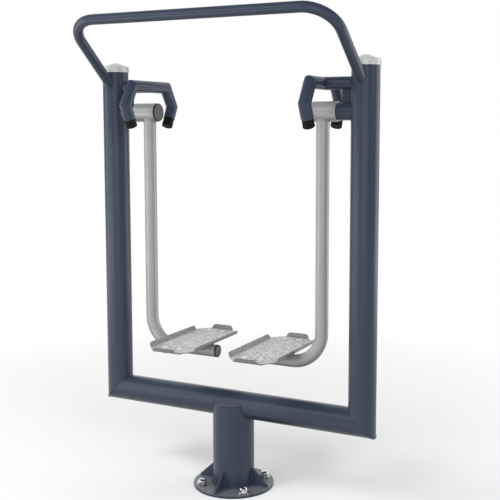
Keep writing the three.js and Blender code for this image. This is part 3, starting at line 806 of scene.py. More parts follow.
class Workshop:
    """Makes objects of forms, finishes them and hands them to the bodies that carry them."""

    def make(self, name: str, form: Form, slot: Slot, body: Body, replaced: Sequence[str] = (),
             origin: Vector | None = None, bevel: float = 0.0, special: Finish | None = None) -> None:
        """Makes one piece.

        Args:
            name: The piece's name.
            form: Its form, in place.
            slot: The material slot of its finish.
            body: What it rides on.
            replaced: The nodes that it stands for.
            origin: The piece's own origin, or the walker's.
            bevel: The width that its edges are eased by.
            special: Its finish, where that isn't the slot's.
        """
        origin = origin or Vector()
        form.moved(Matrix.Translation(-origin))
        piece = bpy.data.objects.new(name, form.mesh(name, bevel))
        piece.location = origin
        bpy.context.scene.collection.objects.link(piece)
        piece.data.materials.append(PALETTE.of(slot, special))
        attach(piece, body.value)
        if replaced:
            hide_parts(*replaced)
        log.info("piece %s on %s", name, body.value)

    def weld(self, name: str, beads: Sequence[WeldBead], slot: Slot, body: Body,
             matrix: Matrix | None = None) -> None:
        """Makes one piece of several weld beads.

        Args:
            name: The piece's name.
            beads: The beads.
            slot: The material slot of its finish.
            body: What it rides on.
            matrix: Where the beads go.
        """
        form = Form()
        for bead in beads:
            form.add(bead.form())
        self.make(name, form.moved(matrix or Matrix.Identity(4)), slot, body)

    def carved(self, form: Form, cutters: Sequence[Form]) -> Form:
        """Cuts forms out of a form.

        Args:
            form: What is cut.
            cutters: What is taken away.

        Returns:
            The rest.
        """
        blank = bpy.data.objects.new("blank", form.mesh("blank"))
        tools = [bpy.data.objects.new("tool", cutter.mesh("tool")) for cutter in cutters]
        for item in (blank, *tools):
            bpy.context.scene.collection.objects.link(item)
        for tool in tools:
            modifier = blank.modifiers.new("cut", "BOOLEAN")
            modifier.operation = "DIFFERENCE"
            modifier.solver = "EXACT"
            modifier.object = tool
        result = blank.evaluated_get(bpy.context.evaluated_depsgraph_get()).to_mesh()
        rest = Form()
        rest.points = [vertex.co.copy() for vertex in result.vertices]
        rest.faces = [tuple(polygon.vertices) for polygon in result.polygons]
        for item in (blank, *tools):
            bpy.data.objects.remove(item)
        return rest


SHOP = Workshop()


@dataclass
class Layout:
    """Places that the sub-assemblies share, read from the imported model."""

    upright_x: float
    upright_radius: float
    upright_top: float
    beam_z: float
    leg_x: float
    pivot_z: float

    @classmethod
    def read(cls) -> "Layout":
        """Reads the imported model.

        Returns:
            Its layout.
        """
        low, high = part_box("upright_right")
        beam_low, beam_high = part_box("cross_beam")
        swing = next(joint for joint in frame["joints"] if joint["name"] == "right_leg_swing")
        return cls(
            upright_x=(low.x + high.x) / 2,
            upright_radius=(high.x - low.x) / 2,
            upright_top=high.z,
            beam_z=(beam_low.z + beam_high.z) / 2,
            leg_x=swing["pos_m"][0],
            pivot_z=swing["pos_m"][2],
        )

    def to_upright(self) -> Trim:
        """Returns the trim that ends a tube on the right upright's surface."""
        return to_cylinder(Vector((self.upright_x, 0, 0)), ALONG_Z, self.upright_radius)


@dataclass
class Base:
    """The bolted foot: flange, post, gussets and anchors."""

    layout: Layout
    flange_thickness: float = 0.008
    flange_edge: float = 0.0012
    hole_radius: float = 0.012
    post_wall: float = 0.0045
    plate_thickness: float = 0.005
    plate_gap: float = 0.0003
    post_rise: float = 0.010
    gusset_thickness: float = 0.006
    gusset_height: float = 0.057
    gusset_top: float = 0.004
    gusset_nose: float = 0.006
    gusset_relief: float = 0.009
    gusset_inset: float = 0.007
    washer_radius: float = 0.0185
    washer_thickness: float = 0.003
    stud_radius: float = 0.010
    nut_flats: float = 0.030
    nut_height: float = 0.010
    dome_radius: float = 0.014
    dome_height: float = 0.009
    foot_bead: float = 0.006
    gusset_bead: float = 0.0038
    saddle_bead: float = 0.0024
    chord_bead: float = 0.0016
    plate_edge: float = 0.0008
    gusset_edge: float = 0.0009
    washer_edge: float = 0.0004
    flange_sides: int = 160
    hole_sides: int = 40
    post_sides: int = 128
    saddle_sides: int = 96
    washer_sides: int = 64
    nut_sides: int = 72
    dome_steps: int = 12
    plate_steps: int = 32
    saddle_steps: int = 60

    def __post_init__(self) -> None:
        """Reads the flange's and the post's own sizes."""
        low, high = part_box("base_flange")
        self.flange_radius = (high.x - low.x) / 2
        low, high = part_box("base_post")
        self.post_radius = (high.x - low.x) / 2
        self.top = self.flange_thickness + self.plate_gap

    def build(self) -> None:
        """Makes every piece of the foot."""
        self.flange()
        self.post()
        self.closing_plates()
        self.gussets()
        for number in ANCHORS:
            self.anchor(number)
        self.welds()

    def anchor_place(self, number: int) -> Vector:
        """Returns an anchor's place on the flange's top."""
        low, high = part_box(f"anchor_washer_{number}")
        return Vector(((low.x + high.x) / 2, (low.y + high.y) / 2, self.top))

    def flange(self) -> None:
        """Makes the round plate with its four holes."""
        over = self.flange_thickness
        disc = rod(0, over, self.flange_radius, self.flange_sides)
        drills = []
        for number in ANCHORS:
            drill = rod(-over, 2 * over, self.hole_radius, self.hole_sides)
            place = self.anchor_place(number)
            drills.append(drill.moved(Matrix.Translation((place.x, place.y, 0))))
        SHOP.make("flange", SHOP.carved(disc, drills), Slot.FRAME_PAINT, Body.FRAME, ["base_flange"],
                  bevel=self.flange_edge)

    def post(self) -> None:
        """Makes the post, slotted at its top for the beam."""
        at = self.layout
        high = at.beam_z + self.post_rise - self.plate_thickness - self.plate_gap
        tube = TubeRun([ALONG_Z * self.top, ALONG_Z * high], ALONG_X, 2 * self.post_radius,
                       self.post_wall, sides=self.post_sides)
        slot_radius = at.upright_radius + self.plate_gap
        reach = 2 * self.post_radius
        floor = rod(-reach, reach, slot_radius, self.saddle_sides)
        floor.moved(Matrix.Translation((0, 0, at.beam_z)) @ Matrix.Rotation(QUARTER_TURN, 4, "Y"))
        rise = 2 * self.post_rise
        walls = plate([(-reach, 0), (reach, 0), (reach, rise), (-reach, rise)], 2 * slot_radius)
        walls.moved(Matrix.Translation((0, 0, at.beam_z)))
        SHOP.make("post", SHOP.carved(tube.form(), [floor, walls]), Slot.FRAME_PAINT, Body.FRAME,
                  ["base_post"])

    def chord_angle(self) -> float:
        """Returns half the angle of the post's arc that a closing plate covers."""
        return math.acos((self.layout.upright_radius + self.plate_gap) / self.post_radius)

    def closing_plates(self) -> None:
        """Makes the half-moon plates that close the post in front of the beam and behind it."""
        half = self.chord_angle()
        for name, middle in (("front", -QUARTER_TURN), ("rear", QUARTER_TURN)):
            low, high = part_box(f"post_plate_{name}")
            angles = [middle - half + 2 * half * k / self.plate_steps for k in range(self.plate_steps + 1)]
            arc = [(self.post_radius * math.cos(a), self.post_radius * math.sin(a)) for a in angles]
            SHOP.make(f"closing_plate_{name}", slab(arc, low.z, high.z), Slot.FRAME_PAINT, Body.FRAME,
                      [f"post_plate_{name}"], bevel=self.plate_edge)

    def gussets(self) -> None:
        """Makes the four gussets, each standing on the flange against the post."""
        foot = self.post_radius + self.plate_gap
        nose = self.flange_radius - self.gusset_inset
        outline = [(foot, self.gusset_relief), (foot + self.gusset_relief, 0), (nose, 0),
                   (nose, self.gusset_nose), (foot + self.gusset_top, self.gusset_height),
                   (foot, self.gusset_height)]
        for turn, name in enumerate(("right", "rear", "left", "front")):
            form = plate(outline, self.gusset_thickness)
            form.moved(Matrix.Rotation(turn * QUARTER_TURN, 4, "Z") @ Matrix.Translation((0, 0, self.top)))
            SHOP.make(f"gusset_plate_{name}", form, Slot.FRAME_PAINT, Body.FRAME, [f"gusset_{name}"],
                      bevel=self.gusset_edge)

    def anchor(self, number: int) -> None:
        """Makes one washer and its dome nut on the stud.

        Args:
            number: Which anchor, from 1.
        """
        place = self.anchor_place(number)
        bore = self.stud_radius + self.plate_gap
        ring = turned([(0, bore), (0, self.washer_radius), (self.washer_thickness, self.washer_radius),
                       (self.washer_thickness, bore)], self.washer_sides, closed=True)
        SHOP.make(f"washer_{number}", ring.moved(Matrix.Translation(place)), Slot.STAINLESS, Body.FRAME,
                  [f"anchor_washer_{number}"], place, bevel=self.washer_edge)
        sides = self.nut_sides
        seat = self.washer_thickness + self.plate_gap
        neck = seat + self.nut_height
        sections = [circle(self.stud_radius, sides, self.plate_gap - self.top),
                    circle(self.stud_radius, sides, seat)]
        sections += chamfered_hexagon(self.nut_flats, seat, neck, sides)
        for k in range(self.dome_steps):
            angle = QUARTER_TURN * k / self.dome_steps
            sections.append(circle(self.dome_radius * math.cos(angle), sides,
                                   neck + self.dome_height * math.sin(angle)))
        sections.append([ALONG_Z * (neck + self.dome_height)])
        nut = lofted(sections, foot=True)
        spin = Matrix.Rotation(NUT_TURNS[number - 1], 4, "Z")
        SHOP.make(f"dome_nut_{number}", nut.moved(Matrix.Translation(place) @ spin), Slot.STAINLESS,
                  Body.FRAME, [f"anchor_nut_{number}"], place)

    def welds(self) -> None:
        """Lays the welds of the flange, the gussets, the beam's saddle and the closing plates."""
        foot = WeldBead(circle(self.post_radius, self.flange_sides, self.top), ALONG_Z, self.foot_bead)
        SHOP.weld("weld_post_foot", [foot], Slot.FRAME_PAINT, Body.FRAME)
        nose = self.flange_radius - self.gusset_inset
        beads = []
        for turn in range(4):
            spin = Matrix.Rotation(turn * QUARTER_TURN, 4, "Z")
            for y in (-self.gusset_thickness / 2, self.gusset_thickness / 2):
                start = Vector((self.post_radius, y, self.top))
                end = Vector((nose, y, self.top))
                head = Vector((self.post_radius, y, self.top + self.gusset_height))
                beads.append(WeldBead([spin @ start, spin @ end], ALONG_Z, self.gusset_bead, closed=False))
                beads.append(WeldBead([spin @ start, spin @ head], spin @ ALONG_X, self.gusset_bead,
                                      closed=False))
        SHOP.weld("weld_gussets", beads, Slot.FRAME_PAINT, Body.FRAME)
        SHOP.weld("weld_saddle", self.saddle_beads(), Slot.FRAME_PAINT, Body.FRAME)

    def saddle_beads(self) -> list[WeldBead]:
        """Follows the seams where the beam lies in the post and along the closing plates.

        Returns:
            Their beads.
        """
        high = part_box("post_plate_front")[1]
        radius = self.layout.upright_radius
        beads = []
        for side in (-1, 1):
            seam = []
            for k in range(self.saddle_steps + 1):
                angle = HALF_TURN * k / self.saddle_steps
                y = -radius * math.cos(angle)
                x = side * math.sqrt(self.post_radius ** 2 - y ** 2)
                seam.append(Vector((x, y, self.layout.beam_z - radius * math.sin(angle))))
            beads.append(WeldBead(seam, ALONG_X, self.saddle_bead, closed=False))
        half = self.post_radius * math.sin(self.chord_angle())
        for side in (-1, 1):
            y = side * (radius - self.plate_gap)
            chord = [Vector((-half, y, high.z)), Vector((half, y, high.z))]
            beads.append(WeldBead(chord, ALONG_Z, self.chord_bead, closed=False))
        return beads


ANCHORS = range(1, 5)
NUT_TURNS = (-0.06, 0.05, -0.02, 0.1)


@dataclass
class Portal:
    """The welded portal: cross beam, uprights, their caps and the handrail."""

    layout: Layout
    wall: float = 0.0032
    mitre_gap: float = 0.0003
    mitre_bead: float = 0.0016
    cap_wall: float = 0.002
    cap_gap: float = 0.0003
    cap_skirt: float = 0.016
    cap_rim: float = 0.019
    cap_cone: float = 0.014
    cap_tip_drop: float = 0.0012
    cap_tip_radius: float = 0.008
    cap_edge: float = 0.0012
    grub_radius: float = 0.004
    grub_socket: float = 0.004
    grub_sink: float = 0.0004
    grub_drop: float = 0.0065
    rail_diameter: float = 0.0337
    rail_wall: float = 0.0026
    rail_root_drop: float = 0.087
    rail_inset: float = 0.0065
    rail_reach: float = 0.262
    rail_rise: float = 0.222
    rail_bend: float = 0.098
    rail_bead: float = 0.0018
    cap_ease: float = 0.0004
    mitre_ripple: float = 0.03
    tube_sides: int = 96
    grub_sides: int = 36
    rail_sides: int = 64
    bend_steps: int = 28

    def build(self) -> None:
        """Makes every piece of the portal."""
        self.beam()
        for side in (RIGHT, LEFT):
            self.upright(side)
            self.cap(side)
        self.handrail()

    def beam(self) -> None:
        """Makes the cross beam, mitred at both ends."""
        at = self.layout
        reach = at.upright_x - self.mitre_gap * math.sqrt(0.5)
        start, end = Vector((-reach, 0, at.beam_z)), Vector((reach, 0, at.beam_z))
        run = TubeRun([start, end], ALONG_Y, 2 * at.upright_radius, self.wall, sides=self.tube_sides,
                      start=to_plane(start, Vector((1, 0, -1))), end=to_plane(end, Vector((1, 0, 1))))
        SHOP.make("beam", run.form(), Slot.FRAME_PAINT, Body.FRAME, ["cross_beam"])

    def upright(self, side: Side) -> None:
        """Makes one upright with the weld of its mitre.

        Args:
            side: Which half.
        """
        at = self.layout
        start = Vector((at.upright_x, 0, at.beam_z + self.mitre_gap * math.sqrt(0.5)))
        mitre = Vector((1, 0, 1))
        run = TubeRun([start, Vector((at.upright_x, 0, at.upright_top))], ALONG_Y,
                      2 * at.upright_radius, self.wall, sides=self.tube_sides, start=to_plane(start, mitre))
        SHOP.make(f"upright_tube_{side.name}", run.form().moved(side.matrix()), Slot.FRAME_PAINT,
                  Body.FRAME, [f"upright_{side.name}"])
        bead = WeldBead(run.seam(0), mitre.normalized(), self.mitre_bead, ripple=self.mitre_ripple)
        SHOP.weld(f"weld_corner_{side.name}", [bead], Slot.FRAME_PAINT, Body.FRAME, side.matrix())

    def cap(self, side: Side) -> None:
        """Makes the cap of one upright and its three grub screws.

        Args:
            side: Which half.
        """
        at = self.layout
        bore = at.upright_radius + self.cap_gap
        radius = bore + self.cap_wall
        rim = self.cap_rim - self.cap_skirt
        tip = rim + self.cap_cone
        blank = turned([
            (self.cap_gap, 0), (self.cap_gap, bore), (-self.cap_skirt, bore), (-self.cap_skirt, radius),
            (rim - self.cap_edge, radius), (rim, radius - self.cap_edge),
            (tip - self.cap_tip_drop, self.cap_tip_radius),
            (tip - self.cap_tip_drop * CAP_CROWN_SHARE, self.cap_tip_radius / 2), (tip, 0)],
            self.tube_sides)
        place = side.matrix() @ Vector((at.upright_x, 0, at.upright_top))
        outwards = Matrix.Translation((at.upright_radius, 0, -self.grub_drop)) @ Matrix.Rotation(
            QUARTER_TURN, 4, "Y")
        drills, screws = [], Form()
        length = radius - at.upright_radius - self.grub_sink
        drill_radius = self.grub_radius + self.cap_gap
        sides = self.grub_sides
        for turn in range(GRUB_SCREWS):
            matrix = Matrix.Rotation(FULL_TURN * turn / GRUB_SCREWS, 4, "Z") @ outwards
            drills.append(rod(-2 * length, 2 * length, drill_radius, sides).moved(matrix))
            screw = with_socket([circle(self.grub_radius, sides, 0),
                                 circle(self.grub_radius, sides, length - self.grub_sink),
                                 circle(self.grub_radius - self.grub_sink, sides, length)],
                                length, self.grub_socket, length * GRUB_DEPTH_SHARE)
            screws.add(screw.moved(matrix))
        seat = Matrix.Translation(place)
        SHOP.make(f"cap_{side.name}", SHOP.carved(blank, drills).moved(seat), Slot.CAP_METAL, Body.FRAME,
                  [f"upright_cap_{side.name}"], place, bevel=self.cap_ease)
        SHOP.make(f"grub_screws_{side.name}", screws.moved(seat), Slot.STEEL, Body.FRAME, (), place)

    def handrail(self) -> None:
        """Makes the bent rail between the uprights, with its two welds."""
        at = self.layout
        root = at.upright_top - self.rail_root_drop
        inner = at.upright_x - self.rail_inset
        bar = root + self.rail_rise
        corners = [Vector((-at.upright_x, 0, root)), Vector((-inner, -self.rail_reach, bar)),
                   Vector((inner, -self.rail_reach, bar)), Vector((at.upright_x, 0, root))]
        slope = Vector((0, -self.rail_reach, self.rail_rise))
        run = TubeRun(rounded_path(corners, self.rail_bend, self.bend_steps),
                      ALONG_X.cross(slope).normalized(), self.rail_diameter, self.rail_wall,
                      sides=self.rail_sides,
                      start=to_cylinder(corners[0], ALONG_Z, at.upright_radius), end=at.to_upright())
        SHOP.make("rail", run.form(), Slot.FRAME_PAINT, Body.FRAME, ["handrail"])
        for side, index, corner in ((LEFT, 0, 1), (RIGHT, -1, 2)):
            toe = (corners[corner] - corners[index]).normalized()
            bead = WeldBead(run.seam(index), toe, self.rail_bead)
            SHOP.weld(f"weld_rail_{side.name}", [bead], Slot.FRAME_PAINT, Body.FRAME)


GRUB_SCREWS = 3
GRUB_DEPTH_SHARE = 0.75
CAP_CROWN_SHARE = 0.3


def with_socket(outside: Sequence[Sequence[Vector]], top: float, flats: float, depth: float) -> Form:
    """Closes a screw's outside with a face at its foot and a hexagon socket at its top.

    Args:
        outside: Rings of points from the foot up to the top face's edge.
        top: The top face's height.
        flats: The socket's size across flats.
        depth: The socket's depth.

    Returns:
        The screw.
    """
    sides = len(outside[0])
    floor = top - depth
    inside = [circle(flats * SOCKET_RIM_SHARE, sides, top),
              hexagon(flats, sides, top - flats * SOCKET_LEAD_SHARE), hexagon(flats, sides, floor),
              [ALONG_Z * (floor - flats * SOCKET_LEAD_SHARE)]]
    return lofted([*outside, *inside], foot=True)


SOCKET_RIM_SHARE = 0.6
SOCKET_LEAD_SHARE = 0.08


@dataclass
class StopBracket:
    """The C of tube that limits a leg's swing, its arm and web, and its two rubber buffers."""

    layout: Layout
    diameter: float = 0.040
    wall: float = 0.003
    top_rise: float = 0.087
    top_half: float = 0.102
    knee_rise: float = 0.021
    knee_half: float = 0.1415
    tip_drop: float = 0.048
    tip_half: float = 0.1075
    web_thickness: float = 0.006
    web_start: float = 0.0655
    collar_radius: float = 0.028
    buffer_length: float = 0.030
    buffer_root: float = 0.018
    buffer_tip: float = 0.01925
    buffer_edge: float = 0.0032
    buffer_dish: float = 0.0008
    buffer_dish_rim: float = 0.0035
    plug_depth: float = 0.020
    saddle_bead: float = 0.0009
    arm_bead: float = 0.002
    web_bead: float = 0.0024
    tube_edge: float = 0.0006
    web_edge: float = 0.0008
    plug_gap: float = 0.0003
    buffer_seat: float = 0.0004
    buffer_shoulder: float = 0.001
    buffer_ease: float = 0.0002
    tube_sides: int = 64
    edge_steps: int = 8

    def build(self, side: Side) -> None:
        """Makes the bracket of one half.

        Args:
            side: Which half.
        """
        self.bent_tube(side)
        self.arm(side)
        for facing, name in ((-1, side.front), (1, side.rear)):
            self.buffer(side, facing, name)

    def place(self, y: float, z: float) -> Vector:
        """Returns a point in the right bracket's plane, Z above the pivot."""
        return Vector((self.layout.leg_x, y, self.layout.pivot_z + z))

    def end_of(self, facing: int) -> tuple[Vector, Vector]:
        """Finds where the steel tube ends before a buffer.

        Args:
            facing: -1 for the end at -Y and 1 for the one at +Y.

        Returns:
            The end and the direction that the buffer points in.
        """
        tip = self.place(facing * self.tip_half, -self.tip_drop)
        direction = (tip - self.place(facing * self.knee_half, self.knee_rise)).normalized()
        return tip - direction * self.buffer_length, direction

    def bent_tube(self, side: Side) -> None:
        """Makes the mitred C.

        Args:
            side: Which half.
        """
        path = [self.end_of(-1)[0], self.place(-self.knee_half, self.knee_rise),
                self.place(-self.top_half, self.top_rise), self.place(self.top_half, self.top_rise),
                self.place(self.knee_half, self.knee_rise), self.end_of(1)[0]]
        run = TubeRun(path, ALONG_X, self.diameter, self.wall, sides=self.tube_sides)
        SHOP.make(f"bracket_{side.name}", run.form().moved(side.matrix()), Slot.FRAME_PAINT, Body.FRAME,
                  [f"stop_bracket_{side.name}"], bevel=self.tube_edge)

    def arm(self, side: Side) -> None:
        """Makes the arm with its web and their welds.

        Args:
            side: Which half.
        """
        at = self.layout
        height = at.pivot_z + self.top_rise
        path = [Vector((at.leg_x, 0, height)), Vector((at.upright_x, 0, height))]
        on_bracket = to_cylinder(path[0], ALONG_Y, self.diameter / 2)
        lip_x = at.leg_x + self.diameter * ARM_LIP_SHARE
        run = TubeRun(path, ALONG_Y, self.diameter, self.wall, sides=self.tube_sides, end=at.to_upright(),
                      start=lambda point, direction: ease_out(on_bracket(point, direction), lip_x))
        start = at.leg_x + self.web_start
        end = at.upright_x - at.upright_radius
        low = at.pivot_z + self.collar_radius
        high = height - self.diameter / 2
        into = high + self.wall / 2
        web = plate([(start, low), (end, low), (end, into), (start, into)], self.web_thickness)
        SHOP.make(f"arm_{side.name}", run.form().moved(side.matrix()), Slot.FRAME_PAINT, Body.FRAME,
                  [f"bracket_arm_{side.name}"])
        SHOP.make(f"web_{side.name}", web.moved(side.matrix()), Slot.FRAME_PAINT, Body.FRAME,
                  bevel=self.web_edge)
        beads = [WeldBead(run.seam(0), ALONG_X, self.saddle_bead),
                 WeldBead(run.seam(-1), ALONG_X, self.arm_bead)]
        for y in (-self.web_thickness / 2, self.web_thickness / 2):
            for z in (low, high):
                line = [Vector((start, y, z)), Vector((end, y, z))]
                beads.append(WeldBead(line, ALONG_Z, self.web_bead, closed=False))
            line = [Vector((end, y, low)), Vector((end, y, high))]
            beads.append(WeldBead(line, ALONG_X, self.web_bead, closed=False))
        SHOP.weld(f"weld_arm_{side.name}", beads, Slot.FRAME_PAINT, Body.FRAME, side.matrix())

    def buffer(self, side: Side, facing: int, name: str) -> None:
        """Makes one rubber buffer.

        Args:
            side: Which half.
            facing: -1 for the end at -Y and 1 for the one at +Y, before the half is turned.
            name: front or rear.
        """
        length = self.buffer_length
        edge = self.buffer_edge
        seat = self.buffer_seat
        shoulder = self.buffer_shoulder
        plug = self.diameter / 2 - self.wall - self.plug_gap
        profile = [(-self.plug_depth, 0), (-self.plug_depth, plug), (seat, plug),
                   (seat, self.buffer_root - shoulder), (seat + shoulder, self.buffer_root)]
        for k in range(self.edge_steps + 1):
            angle = QUARTER_TURN * k / self.edge_steps
            profile.append((length - edge + edge * math.sin(angle),
                            self.buffer_tip - edge + edge * math.cos(angle)))
        dish = self.buffer_tip - edge - self.buffer_dish_rim
        profile += [(length, dish), (length - self.buffer_dish, dish - self.buffer_dish),
                    (length - self.buffer_dish, 0)]
        end, direction = self.end_of(facing)
        aim = ALONG_Z.rotation_difference(direction).to_matrix().to_4x4()
        matrix = side.matrix() @ Matrix.Translation(end) @ aim
        SHOP.make(f"rubber_{side.name}_{name}", turned(profile, self.tube_sides).moved(matrix),
                  Slot.RUBBER, Body.FRAME, [f"buffer_{side.name}_{name}"], bevel=self.buffer_ease)


ARM_LIP_SHARE = 0.15


def ease_out(point: Vector, least_x: float) -> Vector:
    """Returns a point no nearer to the middle than a given X."""
    return Vector((max(point.x, least_x), point.y, point.z))


@dataclass
class Pivot:
    """What turns on an axle, and the collar that the axle stands in."""

    layout: Layout
    hub_radius: float = 0.03175
    hub_inboard: float = 0.0315
    hub_outboard: float = 0.0515
    hub_edge: float = 0.0009
    seat_radius: float = 0.0238
    bore_radius: float = 0.02125
    seat_depth: float = 0.0143
    nut_room: float = 0.016
    running_gap: float = 0.001
    collar_radius: float = 0.028
    collar_bore: float = 0.0153
    collar_edge: float = 0.0014
    collar_bead: float = 0.0026
    cap_inset: float = 0.00175
    cap_thickness: float = 0.0052
    cap_rim: float = 0.0022
    cap_recess: float = 0.0007
    cap_gap: float = 0.0003
    cap_ease: float = 0.0005
    disc_ease: float = 0.0002
    spigot_depth: float = 0.005
    spigot_wall: float = 0.003
    seat_overlap: float = 0.002
    hub_sides: int = 96
    collar_sides: int = 72

    def build(self, side: Side) -> None:
        """Makes the pivot of one half.

        Args:
            side: Which half.
        """
        self.collar(side)
        self.hub(side)
        self.end_cap(side)
        self.inner_pieces(side)

    def along_axle(self, side: Side) -> Matrix:
        """Returns the matrix that lays a form turned round Z along the axle, outwards."""
        lie = Matrix.Rotation(QUARTER_TURN, 4, "Y")
        return side.matrix() @ Matrix.Translation((0, 0, self.layout.pivot_z)) @ lie

    def collar(self, side: Side) -> None:
        """Makes the painted collar between upright and hub, with its weld.

        Args:
            side: Which half.
        """
        at = self.layout
        face = at.leg_x + self.hub_outboard + self.running_gap
        path = [Vector((face, 0, at.pivot_z)), Vector((at.upright_x, 0, at.pivot_z))]
        run = TubeRun(path, ALONG_Y, 2 * self.collar_radius, self.collar_radius - self.collar_bore,
                      sides=self.collar_sides, end=at.to_upright())
        SHOP.make(f"collar_{side.name}", run.form().moved(side.matrix()), Slot.FRAME_PAINT, Body.FRAME,
                  [f"axle_collar_{side.name}"], bevel=self.collar_edge)
        bead = WeldBead(run.seam(-1), ALONG_X, self.collar_bead)
        SHOP.weld(f"weld_collar_{side.name}", [bead], Slot.FRAME_PAINT, Body.FRAME, side.matrix())

    def hub(self, side: Side) -> None:
        """Makes the hub shell with a bearing seat at each end.

        Args:
            side: Which half.
        """
        start = self.layout.leg_x - self.hub_inboard
        end = self.layout.leg_x + self.hub_outboard
        inner = start + self.nut_room + self.seat_depth - self.seat_overlap
        outer = end - self.seat_depth
        profile = [(start, self.seat_radius), (start, self.hub_radius), (end, self.hub_radius),
                   (end, self.seat_radius), (outer, self.seat_radius), (outer, self.bore_radius),
                   (inner, self.bore_radius), (inner, self.seat_radius)]
        form = turned(profile, self.hub_sides, closed=True).moved(self.along_axle(side))
        SHOP.make(f"hub_shell_{side.name}", form, Slot.SILVER_PAINT, side.body, [f"hub_{side.name}"],
                  bevel=self.hub_edge)

    def end_cap(self, side: Side) -> None:
        """Makes the hub's black cap and the grey disc set into it; the disc's grey is painted light, the
        lit face of the black cap.

        Args:
            side: Which half.
        """
        seat = self.layout.leg_x - self.hub_inboard - self.cap_gap
        face = seat - self.cap_thickness
        radius = self.hub_radius - self.cap_inset
        recess = face + self.cap_recess
        disc = radius - self.cap_rim
        spigot = self.seat_radius - self.cap_gap
        bore = spigot - self.spigot_wall
        end = seat + self.spigot_depth
        profile = [(recess, 0), (recess, disc), (face, disc), (face, radius), (seat, radius),
                   (seat, spigot), (end, spigot), (end, bore), (seat, bore), (seat, 0)]
        form = turned(profile, self.hub_sides).moved(self.along_axle(side))
        SHOP.make(f"cap_rim_{side.name}", form, Slot.BLACK_PLASTIC, side.body, [f"hub_cap_{side.name}"],
                  bevel=self.cap_ease)
        rim = disc - self.cap_gap
        crown = [(face - self.cap_recess * rise, disc * reach) for rise, reach in DISC_CROWN_SHARES]
        cover = turned([(recess, 0), (recess, rim), (face, rim), *crown], self.hub_sides)
        SHOP.make(f"cap_painted_lit_face_{side.name}", cover.moved(self.along_axle(side)), Slot.PAINTED_LIT_FACE,
                  side.body, bevel=self.disc_ease)

    def inner_pieces(self, side: Side) -> None:
        """Finishes the bearings, the shaft and the lock nut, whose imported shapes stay.

        Args:
            side: Which half.
        """
        for name in (f"bearing_{side.name}_outboard", f"bearing_{side.name}_inboard",
                     f"axle_shaft_{side.name}", f"axle_nut_{side.name}"):
            node = frame["nodes"][name]
            for place in node.material_slots:
                place.material = PALETTE.of(Slot.STEEL)
            log.info("node %s keeps its packed shape", name)


DISC_CROWN_SHARES = ((0.2, 0.6), (0.3, 0))


@dataclass
class Leg:
    """The bent tube that hangs from a hub, and the plug in its foot."""

    layout: Layout
    hub_radius: float = 0.03175
    diameter: float = 0.0424
    wall: float = 0.003
    bend: float = 0.102
    foot_z: float = 0.454
    foot_end: float = 0.0585
    bead: float = 0.0028
    plug_flange: float = 0.005
    plug_depth: float = 0.014
    plug_ease: float = 0.0006
    plug_dish: float = 0.001
    plug_rim: float = 0.0026
    plug_gap: float = 0.0003
    tube_sides: int = 72
    bend_steps: int = 32

    def build(self, side: Side) -> None:
        """Makes the leg of one half.

        Args:
            side: Which half.
        """
        at = self.layout
        foot = self.foot_end + self.plug_flange + self.plug_gap
        corners = [Vector((at.leg_x, 0, at.pivot_z)), Vector((at.leg_x, 0, self.foot_z)),
                   Vector((foot, 0, self.foot_z))]
        run = TubeRun(rounded_path(corners, self.bend, self.bend_steps), ALONG_Y, self.diameter,
                      self.wall, sides=self.tube_sides, start=self.under_hub)
        SHOP.make(f"leg_tube_{side.name}", run.form().moved(side.matrix()), Slot.SILVER_PAINT, side.body,
                  [f"leg_{side.name}"])
        bead = WeldBead(run.seam(0), -ALONG_Z, self.bead)
        SHOP.weld(f"weld_hub_{side.name}", [bead], Slot.SILVER_PAINT, side.body, side.matrix())
        self.plug(side)

    def under_hub(self, point: Vector, direction: Vector) -> Vector:
        """Drops a point of the leg's upper end to the underside of the hub.

        Args:
            point: The point.
            direction: The direction out of the tube.

        Returns:
            The point on the hub.
        """
        depth = math.sqrt(self.hub_radius ** 2 - point.y ** 2)
        return Vector((point.x, point.y, self.layout.pivot_z - depth * direction.length))

    def plug(self, side: Side) -> None:
        """Makes the foot's black plug and its grey face; the grey is painted light, the lit face of the
        black plug.

        Args:
            side: Which half.
        """
        radius = self.diameter / 2
        face = self.foot_end
        dish = face + self.plug_dish
        seat = face + self.plug_flange
        end = seat + self.plug_depth
        spigot = radius - self.wall - self.plug_gap
        inner = radius - self.plug_rim
        profile = [(dish, 0), (dish, inner), (face, inner), (face, radius), (seat, radius), (seat, spigot),
                   (end, spigot), (end, 0)]
        lie = Matrix.Translation((0, 0, self.foot_z)) @ Matrix.Rotation(QUARTER_TURN, 4, "Y")
        place = side.matrix() @ lie
        SHOP.make(f"foot_rim_{side.name}", turned(profile, self.tube_sides).moved(place),
                  Slot.BLACK_PLASTIC, side.body, [f"foot_plug_{side.name}"], bevel=self.plug_ease)
        inner -= self.plug_gap
        rim, crown = (face + self.plug_dish * share for share in PLUG_CROWN_SHARES)
        cover = turned([(dish, 0), (dish, inner), (rim, inner), (crown, 0)], self.tube_sides)
        SHOP.make(f"foot_painted_lit_face_{side.name}", cover.moved(place), Slot.PAINTED_LIT_FACE, side.body)


PLUG_CROWN_SHARES = (0.3, 0.1)


